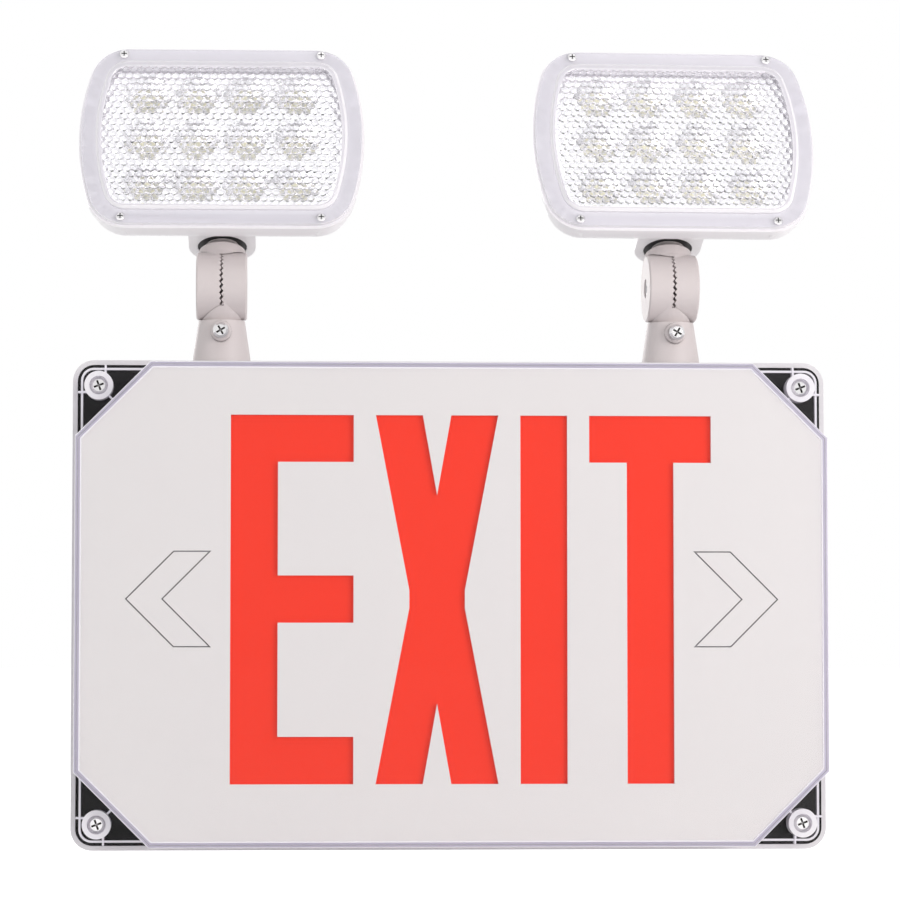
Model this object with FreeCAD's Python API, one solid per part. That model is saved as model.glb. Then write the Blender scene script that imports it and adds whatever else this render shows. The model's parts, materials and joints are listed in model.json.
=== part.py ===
import FreeCAD, Part
import math
import os

# Wet-location emergency exit sign with two swivelling lamp heads.
#
# Frame, in millimetres: the origin is the centre of the back box's rear face.
# X runs to the right, Y runs into the wall and Z runs up, so the sign's face
# looks along -Y and every depth in front of the wall is a negative Y.

V = FreeCAD.Vector
X, Y, Z = V(1, 0, 0), V(0, 1, 0), V(0, 0, 1)

# ---------------------------------------------------------------- back box
BOX_W = 316.6            # outside width
BOX_H = 204.8            # outside height
BOX_D = 57.0             # rear face to the front edge of the rim
BOX_CORNER_R = 9.0
BOX_WALL = 2.8
BACK_WALL = 3.0
RIM_W = 2.0              # rim that stands round the cover's flange
SEAT_DEPTH = 3.2         # front edge of the rim down to the gasket's seat
LEDGE_T = 3.0            # thickness of the seat
LEDGE_REACH = 5.0        # seat reaches this far inside the legend tray's wall
WALL_HOLE_D = 5.5        # four screw holes to the wall
WALL_HOLE_DX = 236.0
WALL_HOLE_DZ = 150.0
WIRE_HOLE_D = 22.0       # supply entry in the middle of the rear wall

# ------------------------------------------------------------- clear cover
FIT = 0.2                # clearance between moulded parts that slip together
GASKET_T = 2.0
FLANGE_T = 3.0
COVER_RISE = 23.2        # flange to the front face
COVER_WALL = 2.2
COVER_FACE_T = 2.5
CHAMFER = 31.0           # leg of each cut-off corner
COVER_EDGE_R = 1.0       # rounding of the front edges
PILLAR_INSET = 9.0       # screw pillar's centre from the flange's edges
PILLAR_R = 6.0
PILLAR_H = 8.0
CORNER_RIB_T = 0.9
CORNER_RIB_H = 4.0
CORNER_RIB_OFF = 2.6     # ribs run beside the pillar's centre
LIP_INSET = 1.4          # thin lip that follows each rounded corner
LIP_T = 0.9
LIP_H = 3.0
COVER_SCREW_D = 4.0
COVER_SCREW_HEAD_D = 7.0
COVER_SCREW_HEAD_H = 2.4
COVER_SCREW_SINK = 3.2   # depth of the recess round the head
COVER_SCREW_BITE = 11.0  # length of thread in the box's boss
BOSS_R = 5.6

# ------------------------------------------------- legend tray and lighting
TRAY_GAP = 0.4           # legend tray to the inside of the cover
TRAY_WALL = 1.6
TRAY_FACE_T = 1.8
LETTER_H = 152.4
LETTER_W = 50.8
STROKE = 19.5
LETTER_GAP = 9.15
LEGEND_X = 7.7           # legend's centre, right of the sign's centre
LEGEND_Z = 2.0
X_WAIST = 23.0           # width of the X across its middle
X_WAIST_H = 7.4
X_NOTCH = 33.0           # depth of the notch between the arms of the X
CHEVRON_TIP = 135.3      # tip of each knock-out arrow from the sign's centre
CHEVRON_H = 39.8
CHEVRON_BAND = 15.6
SCORE_W = 0.5
SCORE_DEPTH = 0.7
DIFFUSER_T = 2.0
DIFFUSER_MARGIN = 7.0
STAKE_R = 1.5
STAKE_INSET = 3.5
PLATE_T = 2.0            # white plate that carries the sign's diodes
PLATE_GAP = 0.4
PLATE_POST_R = 4.0
PLATE_POST_X = 128.0
PLATE_POST_Z = 67.0
STRIP_L = 196.0
STRIP_W = 12.0
STRIP_T = 1.6
STRIP_Z = 34.0
STRIP_LEDS = 9

# ------------------------------------------------------ gear in the back box
BOARD_W, BOARD_H, BOARD_T = 104.0, 84.0, 1.6
BOARD_X = 96.3 - BOX_W / 2         # keeps its distance from the left wall
BOARD_Z = BOX_H / 2 - 80.8         # and from the top
STANDOFF_H = 8.0
STANDOFF_R = 3.5
STANDOFF_INSET = 5.0
CELL_R = 11.3
CELL_L = 43.0
CELLS = 4
PACK_X = BOX_W / 2 - 92.3          # keeps its distance from the right wall
PACK_Z = 50.8 - BOX_H / 2          # and from the bottom
STRAP_W, STRAP_T = 14.0, 1.2
STRAP_FOOT = 14.0
BUTTON_Y, BUTTON_Z = -24.0, -46.0
BUTTON_R = 5.0
BUTTON_PROUD = 3.6
BUTTON_TRAVEL = 2.5
BEZEL_R = 8.0
BEZEL_T = 1.6
LAMP_DROP = 20.0         # status lamp below the button
LAMP_R = 3.0

# ------------------------------------------------------------ arm and foot
ARM_X = 96.5             # arms, each side of the sign's centre
ARM_Y = -BOX_D / 2         # in the middle of the box's depth
AXIS_RISE = 34.2         # tilt axis above the top of the box
FOOT_H = 19.2
FOOT_BASE_R = 12.4
FOOT_TOP_R = 9.9
FOOT_TURN = {"left": -1.0, "right": 4.0}  # clamp screw's direction about the vertical, degrees
STUD_R = 7.4             # foot's threaded stud through the box
STUD_L = 13.0
FOOT_SEAL_T = 1.2
LOCKNUT_T = 4.5
LOCKNUT_AF = 22.0
SPIGOT_R = 8.5
RUNNING = 0.06           # radial clearance of parts that turn in each other
WIRE_R = 3.0
CLAMP_RISE = 14.1        # clamp screw above the box's top
CLAMP_BOSS_R = 4.3
CLAMP_BOSS_OUT = 13.2
CLAMP_D = 4.0
CLAMP_HEAD_D = 6.6
CLAMP_HEAD_H = 2.4
CLAMP_PROUD = 1.2
GROOVE_DEPTH = 1.4       # groove that the clamp screw's tip holds in

# ------------------------------------------------------- serrated knuckle
DISC_R = 14.5
DISC_T = 10.7
TEETH = 36
TOOTH_H = 0.9
TOOTH_RING_R = 6.5       # teeth run from here to the rim
DISC_EDGE = 0.6          # chamfer on the outer rim of each disc
TIP_GAP = 0.10           # between the two rings of tooth tips
SWEEP_GAP = 0.35         # between a disc's rim and the other piece's neck
NECK_R = 10.0
FOOT_NECK_DEEP = 14.0    # half depth of each neck where it meets the discs
STEM_NECK_DEEP = 12.7
NECK_WIDE = 10.9
NECK_LOW = 12.4          # neck is round again this far from the axis
SHOULDER = 2.6
BOLT_D = 5.0
BOLT_HEAD_D = 8.1
BOLT_HEAD_H = 5.0
BOLT_SINK = 5.6
NUT_AF = 8.0
NUT_T = 4.0
NUT_SINK = 4.6

# --------------------------------------------------------------- lamp head
HEAD_W = 121.5
HEAD_H = 86.2
HEAD_CORNER_R = 17.0
HEAD_BOW_R = 109.0       # radius of the bowed left and right sides
HEAD_RISE = 54.3         # centre of the head above the tilt axis
HEAD_FRONT = 35.0        # lens flange in front of the neck's centre line
HEAD_RIM_T = 3.0
HEAD_RIM_STEP = 1.8
HEAD_DEPTH = 15.9        # back of the housing behind the front of its rim
HEAD_BACK_R = 7.0        # rounding of the housing's back
HEAD_WALL = 2.2
LENS_EDGE = 1.0          # housing rim seen round the lens
LENS_T = 2.0
WINDOW_INSET = 7.2
WINDOW_RISE = 2.2
LAMP_GASKET_T = 0.8
LAMP_GASKET_W = 2.0
LENS_SCREW_X = 42.3
LENS_SCREW_Z = 39.4
LENS_SCREW_HEAD_R = 1.9
LENS_SCREW_R = 1.1
LENS_SCREW_L = 9.0
LENS_POST_R = 3.0
COLLAR_R = 14.35
COLLAR_FOOT = 19.0       # mouth of the collar above the tilt axis
COLLAR_H = 8.0
TURRET_H = 28.0          # collar's height with the room for the stem's nut over it
TURRET_EDGE = 5.5
MOUTH_R = 10.6
MOUTH_DEPTH = 4.0
STEM_R = 7.0
STEM_NUT_T = 4.0
STEM_NUT_AF = 19.0
CUP_COLS, CUP_ROWS = 4, 3
CUP_PITCH = 21.3
CUP_R = 9.6
CUP_LED_R = 3.3
CUP_DEPTH = 10.0
CUP_SIDES = 12
CUP_WALL = 0.8
REFLECTOR_T = 1.2
LED_BOARD_T = 1.6
LED_BOARD_EDGE = 3.2
LED_SIZE = 3.4
LED_T = 1.0

# How each head stands as supplied: turned about the vertical and leaning back.
REST_PAN = {"left": -0.5, "right": 2.0}
REST_TILT = 21.0

# ----------------------------------------------------------- derived places
SEAT_Y = -(BOX_D - SEAT_DEPTH)
FLANGE_BACK = SEAT_Y - GASKET_T
FLANGE_FRONT = FLANGE_BACK - FLANGE_T
FRONT_Y = FLANGE_FRONT - COVER_RISE
COVER_W = BOX_W - 2 * (RIM_W + FIT)
COVER_H = BOX_H - 2 * (RIM_W + FIT)
COVER_CORNER_R = BOX_CORNER_R - RIM_W - FIT
PILLAR_X = COVER_W / 2 - PILLAR_INSET
PILLAR_Z = COVER_H / 2 - PILLAR_INSET
TRAY_FRONT = FRONT_Y + COVER_FACE_T + FIT
TRAY_BACK = TRAY_FRONT + TRAY_FACE_T
DIFFUSER_BACK = TRAY_BACK + DIFFUSER_T
AXIS_Z = BOX_H / 2 + AXIS_RISE
FOOT_TOP = BOX_H / 2 + FOOT_H - AXIS_Z          # foot's levels in the arm's frame
FOOT_BASE = BOX_H / 2 + FOOT_SEAL_T - AXIS_Z
BORE_FLOOR = FOOT_BASE + 2.4
CLAMP_Z = BOX_H / 2 + CLAMP_RISE - AXIS_Z
RIM_FRONT = -HEAD_FRONT + LENS_T + LAMP_GASKET_T  # housing's rim in the head's frame
HOUSING_BACK = RIM_FRONT + HEAD_DEPTH
STEM_TOP = COLLAR_FOOT + COLLAR_H + STEM_NUT_T + 1.0


# ------------------------------------------------------------------ helpers
def at(shape, x=0.0, y=0.0, z=0.0):
    """A copy of the shape, moved."""
    moved = shape.copy()
    moved.translate(V(x, y, z))
    return moved


def turned(shape, axis, degrees, centre=V(0, 0, 0)):
    """A copy of the shape, turned about an axis through a point."""
    copy = shape.copy()
    copy.rotate(centre, axis, degrees)
    return copy


def mirrored_x(shape):
    return shape.mirror(V(0, 0, 0), X)


def joined(shapes):
    shapes = list(shapes)
    whole = shapes[0].fuse(shapes[1:]) if len(shapes) > 1 else shapes[0]
    return whole.removeSplitter()


def slab(wire, y_from, y_to):
    """Solid between two depths, from an outline drawn in the XZ plane."""
    face = Part.Face(wire)
    face.translate(V(0, y_from, 0))
    return face.extrude(V(0, y_to - y_from, 0))


def polygon(points):
    corners = [V(x, 0, z) for x, z in points]
    return Part.makePolygon(corners + corners[:1])


def rounded_rect(w, h, r):
    """Rectangle in the XZ plane with four round corners."""
    k = r * (1 - math.sqrt(0.5))
    a, b = w / 2, h / 2
    edges = []
    for sx, sz in ((1, 1), (1, -1), (-1, -1), (-1, 1)):
        start, end = V(sx * (a - r), 0, sz * b), V(sx * a, 0, sz * (b - r))
        if sx * sz < 0:
            start, end = end, start
        edges.append(Part.Arc(start, V(sx * (a - k), 0, sz * (b - k)), end).toShape())
    for i in range(4):
        here, there = edges[i].Vertexes[-1].Point, edges[(i + 1) % 4].Vertexes[0].Point
        edges.append(Part.LineSegment(here, there).toShape())
    return Part.Wire(Part.__sortEdges__(edges))


def octagon(inset=0.0):
    """The cover's outline: a rectangle with cut-off corners, set in all round."""
    a, b = COVER_W / 2 - inset, COVER_H / 2 - inset
    c = CHAMFER - inset * (2 - math.sqrt(2))
    return polygon([(-a + c, b), (a - c, b), (a, b - c), (a, -b + c),
                    (a - c, -b), (-a + c, -b), (-a, -b + c), (-a, b - c)])


def head_outline(inset=0.0):
    """The lamp head's outline: straight top and bottom, bowed sides, round corners.

    Each corner arc is tangent to the straight edge and to the bowed side.
    """
    a, b = HEAD_W / 2 - inset, HEAD_H / 2 - inset
    r, bow = HEAD_CORNER_R - inset, HEAD_BOW_R - inset
    bow_x = a - bow
    cx, cz = bow_x + math.sqrt((bow - r) ** 2 - (b - r) ** 2), b - r
    away = math.atan2(cz, cx - bow_x)
    tx, tz = bow_x + bow * math.cos(away), bow * math.sin(away)
    mid = (away + math.pi / 2) / 2
    mx, mz = cx + r * math.cos(mid), cz + r * math.sin(mid)
    edges = []
    for s in (1, -1):
        edges += [
            Part.LineSegment(V(-s * cx, 0, s * b), V(s * cx, 0, s * b)).toShape(),
            Part.Arc(V(s * cx, 0, s * b), V(s * mx, 0, s * mz), V(s * tx, 0, s * tz)).toShape(),
            Part.Arc(V(s * tx, 0, s * tz), V(s * a, 0, 0), V(s * tx, 0, -s * tz)).toShape(),
            Part.Arc(V(s * tx, 0, -s * tz), V(s * mx, 0, -s * mz), V(s * cx, 0, -s * b)).toShape(),
        ]
    wire = Part.Wire(Part.__sortEdges__(edges))
    wire.translate(V(0, 0, HEAD_RISE))
    return wire


def cyl_y(r, y_from, y_to, x=0.0, z=0.0):
    """Cylinder along Y between two depths."""
    low = min(y_from, y_to)
    return Part.makeCylinder(r, abs(y_to - y_from), V(x, low, z), Y)


def cyl_x(r, x_from, x_to, y=0.0, z=0.0):
    low = min(x_from, x_to)
    return Part.makeCylinder(r, abs(x_to - x_from), V(low, y, z), X)


def cyl_z(r, z_from, z_to, x=0.0, y=0.0):
    low = min(z_from, z_to)
    return Part.makeCylinder(r, abs(z_to - z_from), V(x, y, low), Z)


def block(x0, x1, y0, y1, z0, z1):
    return Part.makeBox(x1 - x0, y1 - y0, z1 - z0, V(x0, y0, z0))


def ngon(radius, sides, height):
    """Corners of a regular polygon, level with the XY plane at a height."""
    turns = [2 * math.pi * (i + 0.5) / sides for i in range(sides)]
    return [V(radius * math.cos(a), radius * math.sin(a), height) for a in turns]


def frustum(low, high):
    """Solid between two level polygons with as many corners each, with flat sides."""
    n = len(low)
    faces = [low, high] + [[low[i], low[(i + 1) % n], high[(i + 1) % n], high[i]]
                           for i in range(n)]
    return Part.makeSolid(Part.makeShell([Part.Face(Part.makePolygon(f + f[:1]))
                                          for f in faces]))


def hexagon(across, height):
    """Hexagonal bar along Z, standing on the XY plane."""
    r = across / math.sqrt(3)
    corners = [V(r * math.cos(math.radians(a)), r * math.sin(math.radians(a)), 0)
               for a in range(0, 420, 60)]
    return Part.Face(Part.makePolygon(corners)).extrude(V(0, 0, height))


def revolved(profile, axis=Z):
    """Solid of revolution about Z from (radius, height) points."""
    points = [V(r, 0, z) for r, z in profile]
    return Part.Face(Part.makePolygon(points + points[:1])).revolve(V(0, 0, 0), axis, 360)


def plain_screw(head_r, head_h, shank_r, shank_l):
    """Pan-head screw along Z: head above z = 0, shank below."""
    return revolved([(0, -shank_l), (shank_r, -shank_l), (shank_r, 0), (head_r, 0),
                     (head_r, head_h * 0.55), (head_r * 0.72, head_h), (0, head_h)])


def cross_screw(head_r, head_h, shank_r, shank_l):
    """The same screw with a cross recess, for the places that are seen."""
    slot, arm, floor = head_r * 0.12, head_r * 0.62, head_h * 0.45
    screw = plain_screw(head_r, head_h, shank_r, shank_l)
    return screw.cut([block(-a, a, -b, b, floor, head_h + 1)
                      for a, b in ((arm, slot), (slot, arm))])


def four(x, z):
    """The four corners of a rectangle about the centre, as (x, z)."""
    return [(sx * x, sz * z) for sx in (-1, 1) for sz in (-1, 1)]


# ----------------------------------------------------------------- back box
def back_box():
    """Deep tray with a stepped rim, the seat for the gasket and the inner posts."""
    outer = slab(rounded_rect(BOX_W, BOX_H, BOX_CORNER_R), 0, -BOX_D)
    room = slab(rounded_rect(BOX_W - 2 * BOX_WALL, BOX_H - 2 * BOX_WALL,
                             BOX_CORNER_R - BOX_WALL), -BACK_WALL, SEAT_Y + LEDGE_T)
    rebate = slab(rounded_rect(BOX_W - 2 * RIM_W, BOX_H - 2 * RIM_W,
                               BOX_CORNER_R - RIM_W), SEAT_Y, -BOX_D - 1)
    opening = slab(octagon(COVER_WALL + TRAY_GAP + LEDGE_REACH), SEAT_Y + LEDGE_T + 1, SEAT_Y - 1)
    box = outer.cut([room, rebate, opening])

    posts = [cyl_y(BOSS_R, -BACK_WALL / 2, SEAT_Y, x, z) for x, z in four(PILLAR_X, PILLAR_Z)]
    posts += [cyl_y(PLATE_POST_R, -BACK_WALL / 2, SEAT_Y, x, z)
              for x, z in four(PLATE_POST_X, PLATE_POST_Z)]
    posts += [cyl_y(STANDOFF_R, -BACK_WALL / 2, -BACK_WALL - STANDOFF_H, BOARD_X + x, BOARD_Z + z)
              for x, z in four(BOARD_W / 2 - STANDOFF_INSET, BOARD_H / 2 - STANDOFF_INSET)]
    posts += [cyl_y(STANDOFF_R, -BACK_WALL / 2, -BACK_WALL - 6, x, PACK_Z) for x in strap_feet()]
    box = joined([box] + posts)

    holes = [cyl_y(COVER_SCREW_D / 2, SEAT_Y + COVER_SCREW_BITE + 1, -BOX_D, x, z)
             for x, z in four(PILLAR_X, PILLAR_Z)]
    holes += [cyl_y(1.5, SEAT_Y + 9, -BOX_D, x, z) for x, z in four(PLATE_POST_X, PLATE_POST_Z)]
    holes += [cyl_y(WALL_HOLE_D / 2, 1, -BACK_WALL - 1, x, z)
              for x, z in four(WALL_HOLE_DX / 2, WALL_HOLE_DZ / 2)]
    holes += [cyl_y(1.3, -BACK_WALL - 1, -BOX_D / 3, BOARD_X + x, BOARD_Z + z)
              for x, z in four(BOARD_W / 2 - STANDOFF_INSET, BOARD_H / 2 - STANDOFF_INSET)]
    holes += [cyl_y(1.3, -BACK_WALL - 1, -BOX_D / 3, x, PACK_Z) for x in strap_feet()]
    holes.append(cyl_y(WIRE_HOLE_D / 2, 1, -BACK_WALL - 1))
    for side in (-1, 1):
        holes.append(cyl_z(STUD_R + FIT, BOX_H / 2 - BOX_WALL - 1, BOX_H / 2 + 1, side * ARM_X, ARM_Y))
    wall = BOX_W / 2 - BOX_WALL
    holes.append(cyl_x(BUTTON_R + 2.0, wall - 1, wall + BOX_WALL + 1, BUTTON_Y, BUTTON_Z))
    holes.append(cyl_x(LAMP_R, wall - 1, wall + BOX_WALL + 1, BUTTON_Y, BUTTON_Z - LAMP_DROP))
    return box.cut(holes)


def cover_gasket():
    """Flat black gasket: a ring that widens to a web in every corner."""
    ring = slab(rounded_rect(COVER_W, COVER_H, COVER_CORNER_R), SEAT_Y, FLANGE_BACK)
    ring = ring.cut(slab(octagon(COVER_WALL + FIT), SEAT_Y + 1, FLANGE_BACK - 1))
    return ring.cut([cyl_y(COVER_SCREW_D / 2 + FIT, SEAT_Y + 1, FLANGE_BACK - 1, x, z)
                     for x, z in four(PILLAR_X, PILLAR_Z)])


def corner_details():
    """Pillar, web, lip and ribs in one pocket of the cover, at the upper right."""
    floor = FLANGE_FRONT + FLANGE_T / 2
    rib_top, lip_top = FLANGE_FRONT - CORNER_RIB_H, FLANGE_FRONT - LIP_H
    edge_x, edge_z = COVER_W / 2 - LIP_INSET - LIP_T / 2, COVER_H / 2 - LIP_INSET - LIP_T / 2
    pillar = cyl_y(PILLAR_R, floor, FLANGE_FRONT - PILLAR_H, PILLAR_X, PILLAR_Z)
    x, z, t = PILLAR_X - CORNER_RIB_OFF, PILLAR_Z - CORNER_RIB_OFF, CORNER_RIB_T / 2
    rib_up = block(x - t, x + t, rib_top, floor, PILLAR_Z, edge_z)
    rib_out = block(PILLAR_X, edge_x, rib_top, floor, z - t, z + t)
    web = block(-PILLAR_R * 2.2, 0, rib_top, floor, -t, t)
    web = at(turned(web, Y, -45), PILLAR_X, 0, PILLAR_Z)
    lip = slab(rounded_rect(COVER_W - 2 * LIP_INSET, COVER_H - 2 * LIP_INSET,
                            COVER_CORNER_R - LIP_INSET), floor, lip_top)
    inner = LIP_INSET + LIP_T
    lip = lip.cut(slab(rounded_rect(COVER_W - 2 * inner, COVER_H - 2 * inner,
                                    COVER_CORNER_R - inner), floor + 1, lip_top - 1))
    lip = lip.common(block(0, BOX_W, -BOX_D * 2, 0, 0, BOX_H))
    return [pillar, rib_up, rib_out, web, lip]


def front_cover():
    """One clear moulding: corner flanges, raised eight-sided box and screw pillars."""
    raised = slab(octagon(), FLANGE_BACK, FRONT_Y)
    front = [e for e in raised.Edges if e.BoundBox.YMax < FRONT_Y + 0.01]
    raised = raised.makeFillet(COVER_EDGE_R, front)
    flange = slab(rounded_rect(COVER_W, COVER_H, COVER_CORNER_R), FLANGE_BACK, FLANGE_FRONT)
    room = slab(octagon(COVER_WALL), FLANGE_BACK + 1, FRONT_Y + COVER_FACE_T)

    details = corner_details()
    details += [mirrored_x(d) for d in details]
    details += [d.mirror(V(0, 0, 0), Z) for d in details]
    cover = joined([raised, flange] + details).cut(room)
    top = FLANGE_FRONT - PILLAR_H
    holes = []
    for x, z in four(PILLAR_X, PILLAR_Z):
        holes.append(cyl_y(COVER_SCREW_D / 2 + FIT, FLANGE_BACK + 1, top - 1, x, z))
        holes.append(cyl_y(COVER_SCREW_HEAD_D / 2 + 2 * FIT, top + COVER_SCREW_SINK, top - 1, x, z))
    return cover.cut(holes)


def cover_screws():
    under_head = FLANGE_FRONT - PILLAR_H + COVER_SCREW_SINK
    length = SEAT_Y + COVER_SCREW_BITE - under_head
    screw = cross_screw(COVER_SCREW_HEAD_D / 2, COVER_SCREW_HEAD_H, COVER_SCREW_D / 2, length)
    screw = turned(turned(screw, Z, 20), X, 90)
    return [at(screw, x, under_head, z) for x, z in four(PILLAR_X, PILLAR_Z)]


# ------------------------------------------------------------------- legend
def letter_e():
    w, h, s = LETTER_W / 2, LETTER_H / 2, STROKE
    return polygon([(-w, h), (w, h), (w, h - s), (-w + s, h - s), (-w + s, s / 2), (w, s / 2),
                    (w, -s / 2), (-w + s, -s / 2), (-w + s, -h + s), (w, -h + s), (w, -h), (-w, -h)])


def letter_x():
    w, h, s = LETTER_W / 2, LETTER_H / 2, STROKE
    waist, flat, notch = X_WAIST / 2, X_WAIST_H / 2, LETTER_H / 2 - X_NOTCH
    return polygon([(-w, h), (-w + s, h), (0, notch), (w - s, h), (w, h), (waist, flat),
                    (waist, -flat), (w, -h), (w - s, -h), (0, -notch), (-w + s, -h), (-w, -h),
                    (-waist, -flat), (-waist, flat)])


def letter_i():
    w, h = STROKE / 2, LETTER_H / 2
    return polygon([(-w, h), (w, h), (w, -h), (-w, -h)])


def letter_t():
    w, h, s = LETTER_W / 2, LETTER_H / 2, STROKE / 2
    return polygon([(-w, h), (w, h), (w, h - 2 * s), (s, h - 2 * s), (s, -h), (-s, -h),
                    (-s, h - 2 * s), (-w, h - 2 * s)])


def legend_width():
    return 3 * LETTER_W + STROKE + 3 * LETTER_GAP


def legend_letters(y_from, y_to):
    """The four letters of the generic legend as prisms, spaced by the letter gap."""
    prisms = []
    edge = LEGEND_X - legend_width() / 2
    for outline, width in ((letter_e(), LETTER_W), (letter_x(), LETTER_W),
                           (letter_i(), STROKE), (letter_t(), LETTER_W)):
        prisms.append(at(slab(outline, y_from, y_to), edge + width / 2, 0, LEGEND_Z))
        edge += width + LETTER_GAP
    return prisms


def chevron_score(side):
    """Shallow score line round one knock-out arrow."""
    h, reach = CHEVRON_H / 2, CHEVRON_H / 2
    tip, root = CHEVRON_TIP, CHEVRON_TIP - CHEVRON_BAND
    line = polygon([(side * x, z) for x, z in ((tip, 0), (tip - reach, h), (root - reach, h),
                                               (root, 0), (root - reach, -h), (tip - reach, -h))])
    inner = line.makeOffset2D(-SCORE_W, 2)
    groove = slab(line, TRAY_FRONT - 1, TRAY_FRONT + SCORE_DEPTH)
    return at(groove.cut(slab(inner, TRAY_FRONT - 2, TRAY_FRONT + SCORE_DEPTH + 1)), 0, 0, LEGEND_Z)


def diffuser_size():
    return legend_width() + 2 * DIFFUSER_MARGIN, LETTER_H + 2 * DIFFUSER_MARGIN


def stake_places():
    w, h = diffuser_size()
    return [(LEGEND_X + x, LEGEND_Z + z) for x, z in four(w / 2 - STAKE_INSET, h / 2 - STAKE_INSET)]


def legend_tray():
    """White tray with the legend cut through its face and stakes for the diffuser."""
    skin = COVER_WALL + TRAY_GAP
    tray = slab(octagon(skin), SEAT_Y, TRAY_FRONT)
    tray = tray.cut(slab(octagon(skin + TRAY_WALL), SEAT_Y + 1, TRAY_BACK))
    stakes = []
    for x, z in stake_places():
        stakes.append(cyl_y(STAKE_R, TRAY_BACK - 0.5, DIFFUSER_BACK + 0.5, x, z))
        stakes.append(cyl_y(STAKE_R * 1.7, DIFFUSER_BACK, DIFFUSER_BACK + 1, x, z))
    tray = joined([tray] + stakes)
    return tray.cut(legend_letters(TRAY_FRONT - 1, TRAY_BACK + 1)
                    + [chevron_score(1), chevron_score(-1)])


def red_diffuser():
    w, h = diffuser_size()
    sheet = slab(rounded_rect(w, h, 2 * STAKE_INSET / 3), TRAY_BACK, DIFFUSER_BACK)
    sheet = at(sheet, LEGEND_X, 0, LEGEND_Z)
    return sheet.cut([cyl_y(STAKE_R, TRAY_BACK - 1, DIFFUSER_BACK + 1, x, z)
                      for x, z in stake_places()])


def diode_plate():
    """White plate on the seat, inside the legend tray, with the diode strips on it."""
    inset = COVER_WALL + TRAY_GAP + TRAY_WALL + PLATE_GAP
    plate = slab(octagon(inset), SEAT_Y, SEAT_Y - PLATE_T)
    lead_hole = block(-6, 6, SEAT_Y - PLATE_T - 1, SEAT_Y + 1, -4, 4)
    return plate.cut([cyl_y(1.5 + FIT, SEAT_Y + 1, SEAT_Y - PLATE_T - 1, x, z)
                      for x, z in four(PLATE_POST_X, PLATE_POST_Z)] + [lead_hole])


def plate_screws():
    screw = turned(plain_screw(2.8, 1.8, 1.5, PLATE_T + 7), X, 90)
    return [at(screw, x, SEAT_Y - PLATE_T, z) for x, z in four(PLATE_POST_X, PLATE_POST_Z)]


def diode_strips():
    front = SEAT_Y - PLATE_T
    return [block(LEGEND_X - STRIP_L / 2, LEGEND_X + STRIP_L / 2, front - STRIP_T, front,
                  LEGEND_Z + s * STRIP_Z - STRIP_W / 2, LEGEND_Z + s * STRIP_Z + STRIP_W / 2)
            for s in (-1, 1)]


def sign_diodes():
    back = SEAT_Y - PLATE_T - STRIP_T
    pitch = STRIP_L / STRIP_LEDS
    places = [LEGEND_X + (i - (STRIP_LEDS - 1) / 2) * pitch for i in range(STRIP_LEDS)]
    return [block(x - 2.5, x + 2.5, back - 1.6, back, LEGEND_Z + s * STRIP_Z - 2.5,
                  LEGEND_Z + s * STRIP_Z + 2.5) for x in places for s in (-1, 1)]


# --------------------------------------------------------- gear in the box
def board_front():
    return -BACK_WALL - STANDOFF_H - BOARD_T


def charger_board():
    back = -BACK_WALL - STANDOFF_H
    board = block(BOARD_X - BOARD_W / 2, BOARD_X + BOARD_W / 2, back - BOARD_T, back,
                  BOARD_Z - BOARD_H / 2, BOARD_Z + BOARD_H / 2)
    corners = four(BOARD_W / 2 - STANDOFF_INSET, BOARD_H / 2 - STANDOFF_INSET)
    return board.cut([cyl_y(1.5, back - BOARD_T - 1, back + 1, BOARD_X + x, BOARD_Z + z)
                      for x, z in corners])


def board_screws():
    screw = turned(plain_screw(2.6, 1.6, 1.3, BOARD_T + 5), X, 90)
    corners = four(BOARD_W / 2 - STANDOFF_INSET, BOARD_H / 2 - STANDOFF_INSET)
    return [at(screw, BOARD_X + x, board_front(), BOARD_Z + z) for x, z in corners]


def transformer():
    """Laminated core with its winding bobbin between the legs."""
    core_w, core_d, core_h, leg = 38.0, 13.0, 32.0, 7.0
    core = block(-core_w / 2, core_w / 2, -core_d, 0, -core_h / 2, core_h / 2)
    for s in (-1, 1):
        x = s * (core_w / 2 - leg - 4.5)
        core = core.cut(block(x - 4.5, x + 4.5, -core_d - 1, 1, -core_h / 2 + leg, core_h / 2 - leg))
    winding = block(-14, 14, -core_d - 5, 5, -core_h / 2 + leg, core_h / 2 - leg)
    whole = joined([core, winding])
    return at(whole, BOARD_X - 24, board_front() - 5, BOARD_Z + 12)


def capacitors():
    """Two upright electrolytic capacitors on the board."""
    can = cyl_y(5.0, 0, -20)
    can = can.makeChamfer(0.6, [e for e in can.Edges if e.BoundBox.YMax < -19])
    return [at(can, BOARD_X + 14 + 14 * i, board_front(), BOARD_Z + 22) for i in range(2)]


def terminal_block():
    """Three-way supply terminal with a screw well and a wire entry for each way."""
    way, depth, height = 8.0, 12.0, 14.0
    body = block(-1.5 * way, 1.5 * way, -depth, 0, -height / 2, height / 2)
    for i in (-1, 0, 1):
        body = body.cut([cyl_y(2.2, -depth - 1, -depth + 7, i * way, 2),
                         block(i * way - 2.4, i * way + 2.4, -depth + 3, -3, -height / 2 - 1, 0)])
    return at(body, BOARD_X + 22, board_front(), BOARD_Z - 28)


def battery_pack():
    """Row of cells in one shrink sleeve, flush on the rear wall."""
    pitch = 2 * CELL_R
    back = -BACK_WALL - FIT
    cells = [cyl_z(CELL_R, PACK_Z - CELL_L / 2, PACK_Z + CELL_L / 2,
                   PACK_X + (i - (CELLS - 1) / 2) * pitch, back - CELL_R) for i in range(CELLS)]
    web = CELL_R * 0.55
    span = (CELLS - 1) / 2 * pitch
    sleeve = block(PACK_X - span, PACK_X + span, back - CELL_R - web, back - CELL_R + web,
                   PACK_Z - CELL_L / 2, PACK_Z + CELL_L / 2)
    return joined(cells + [sleeve])


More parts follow.
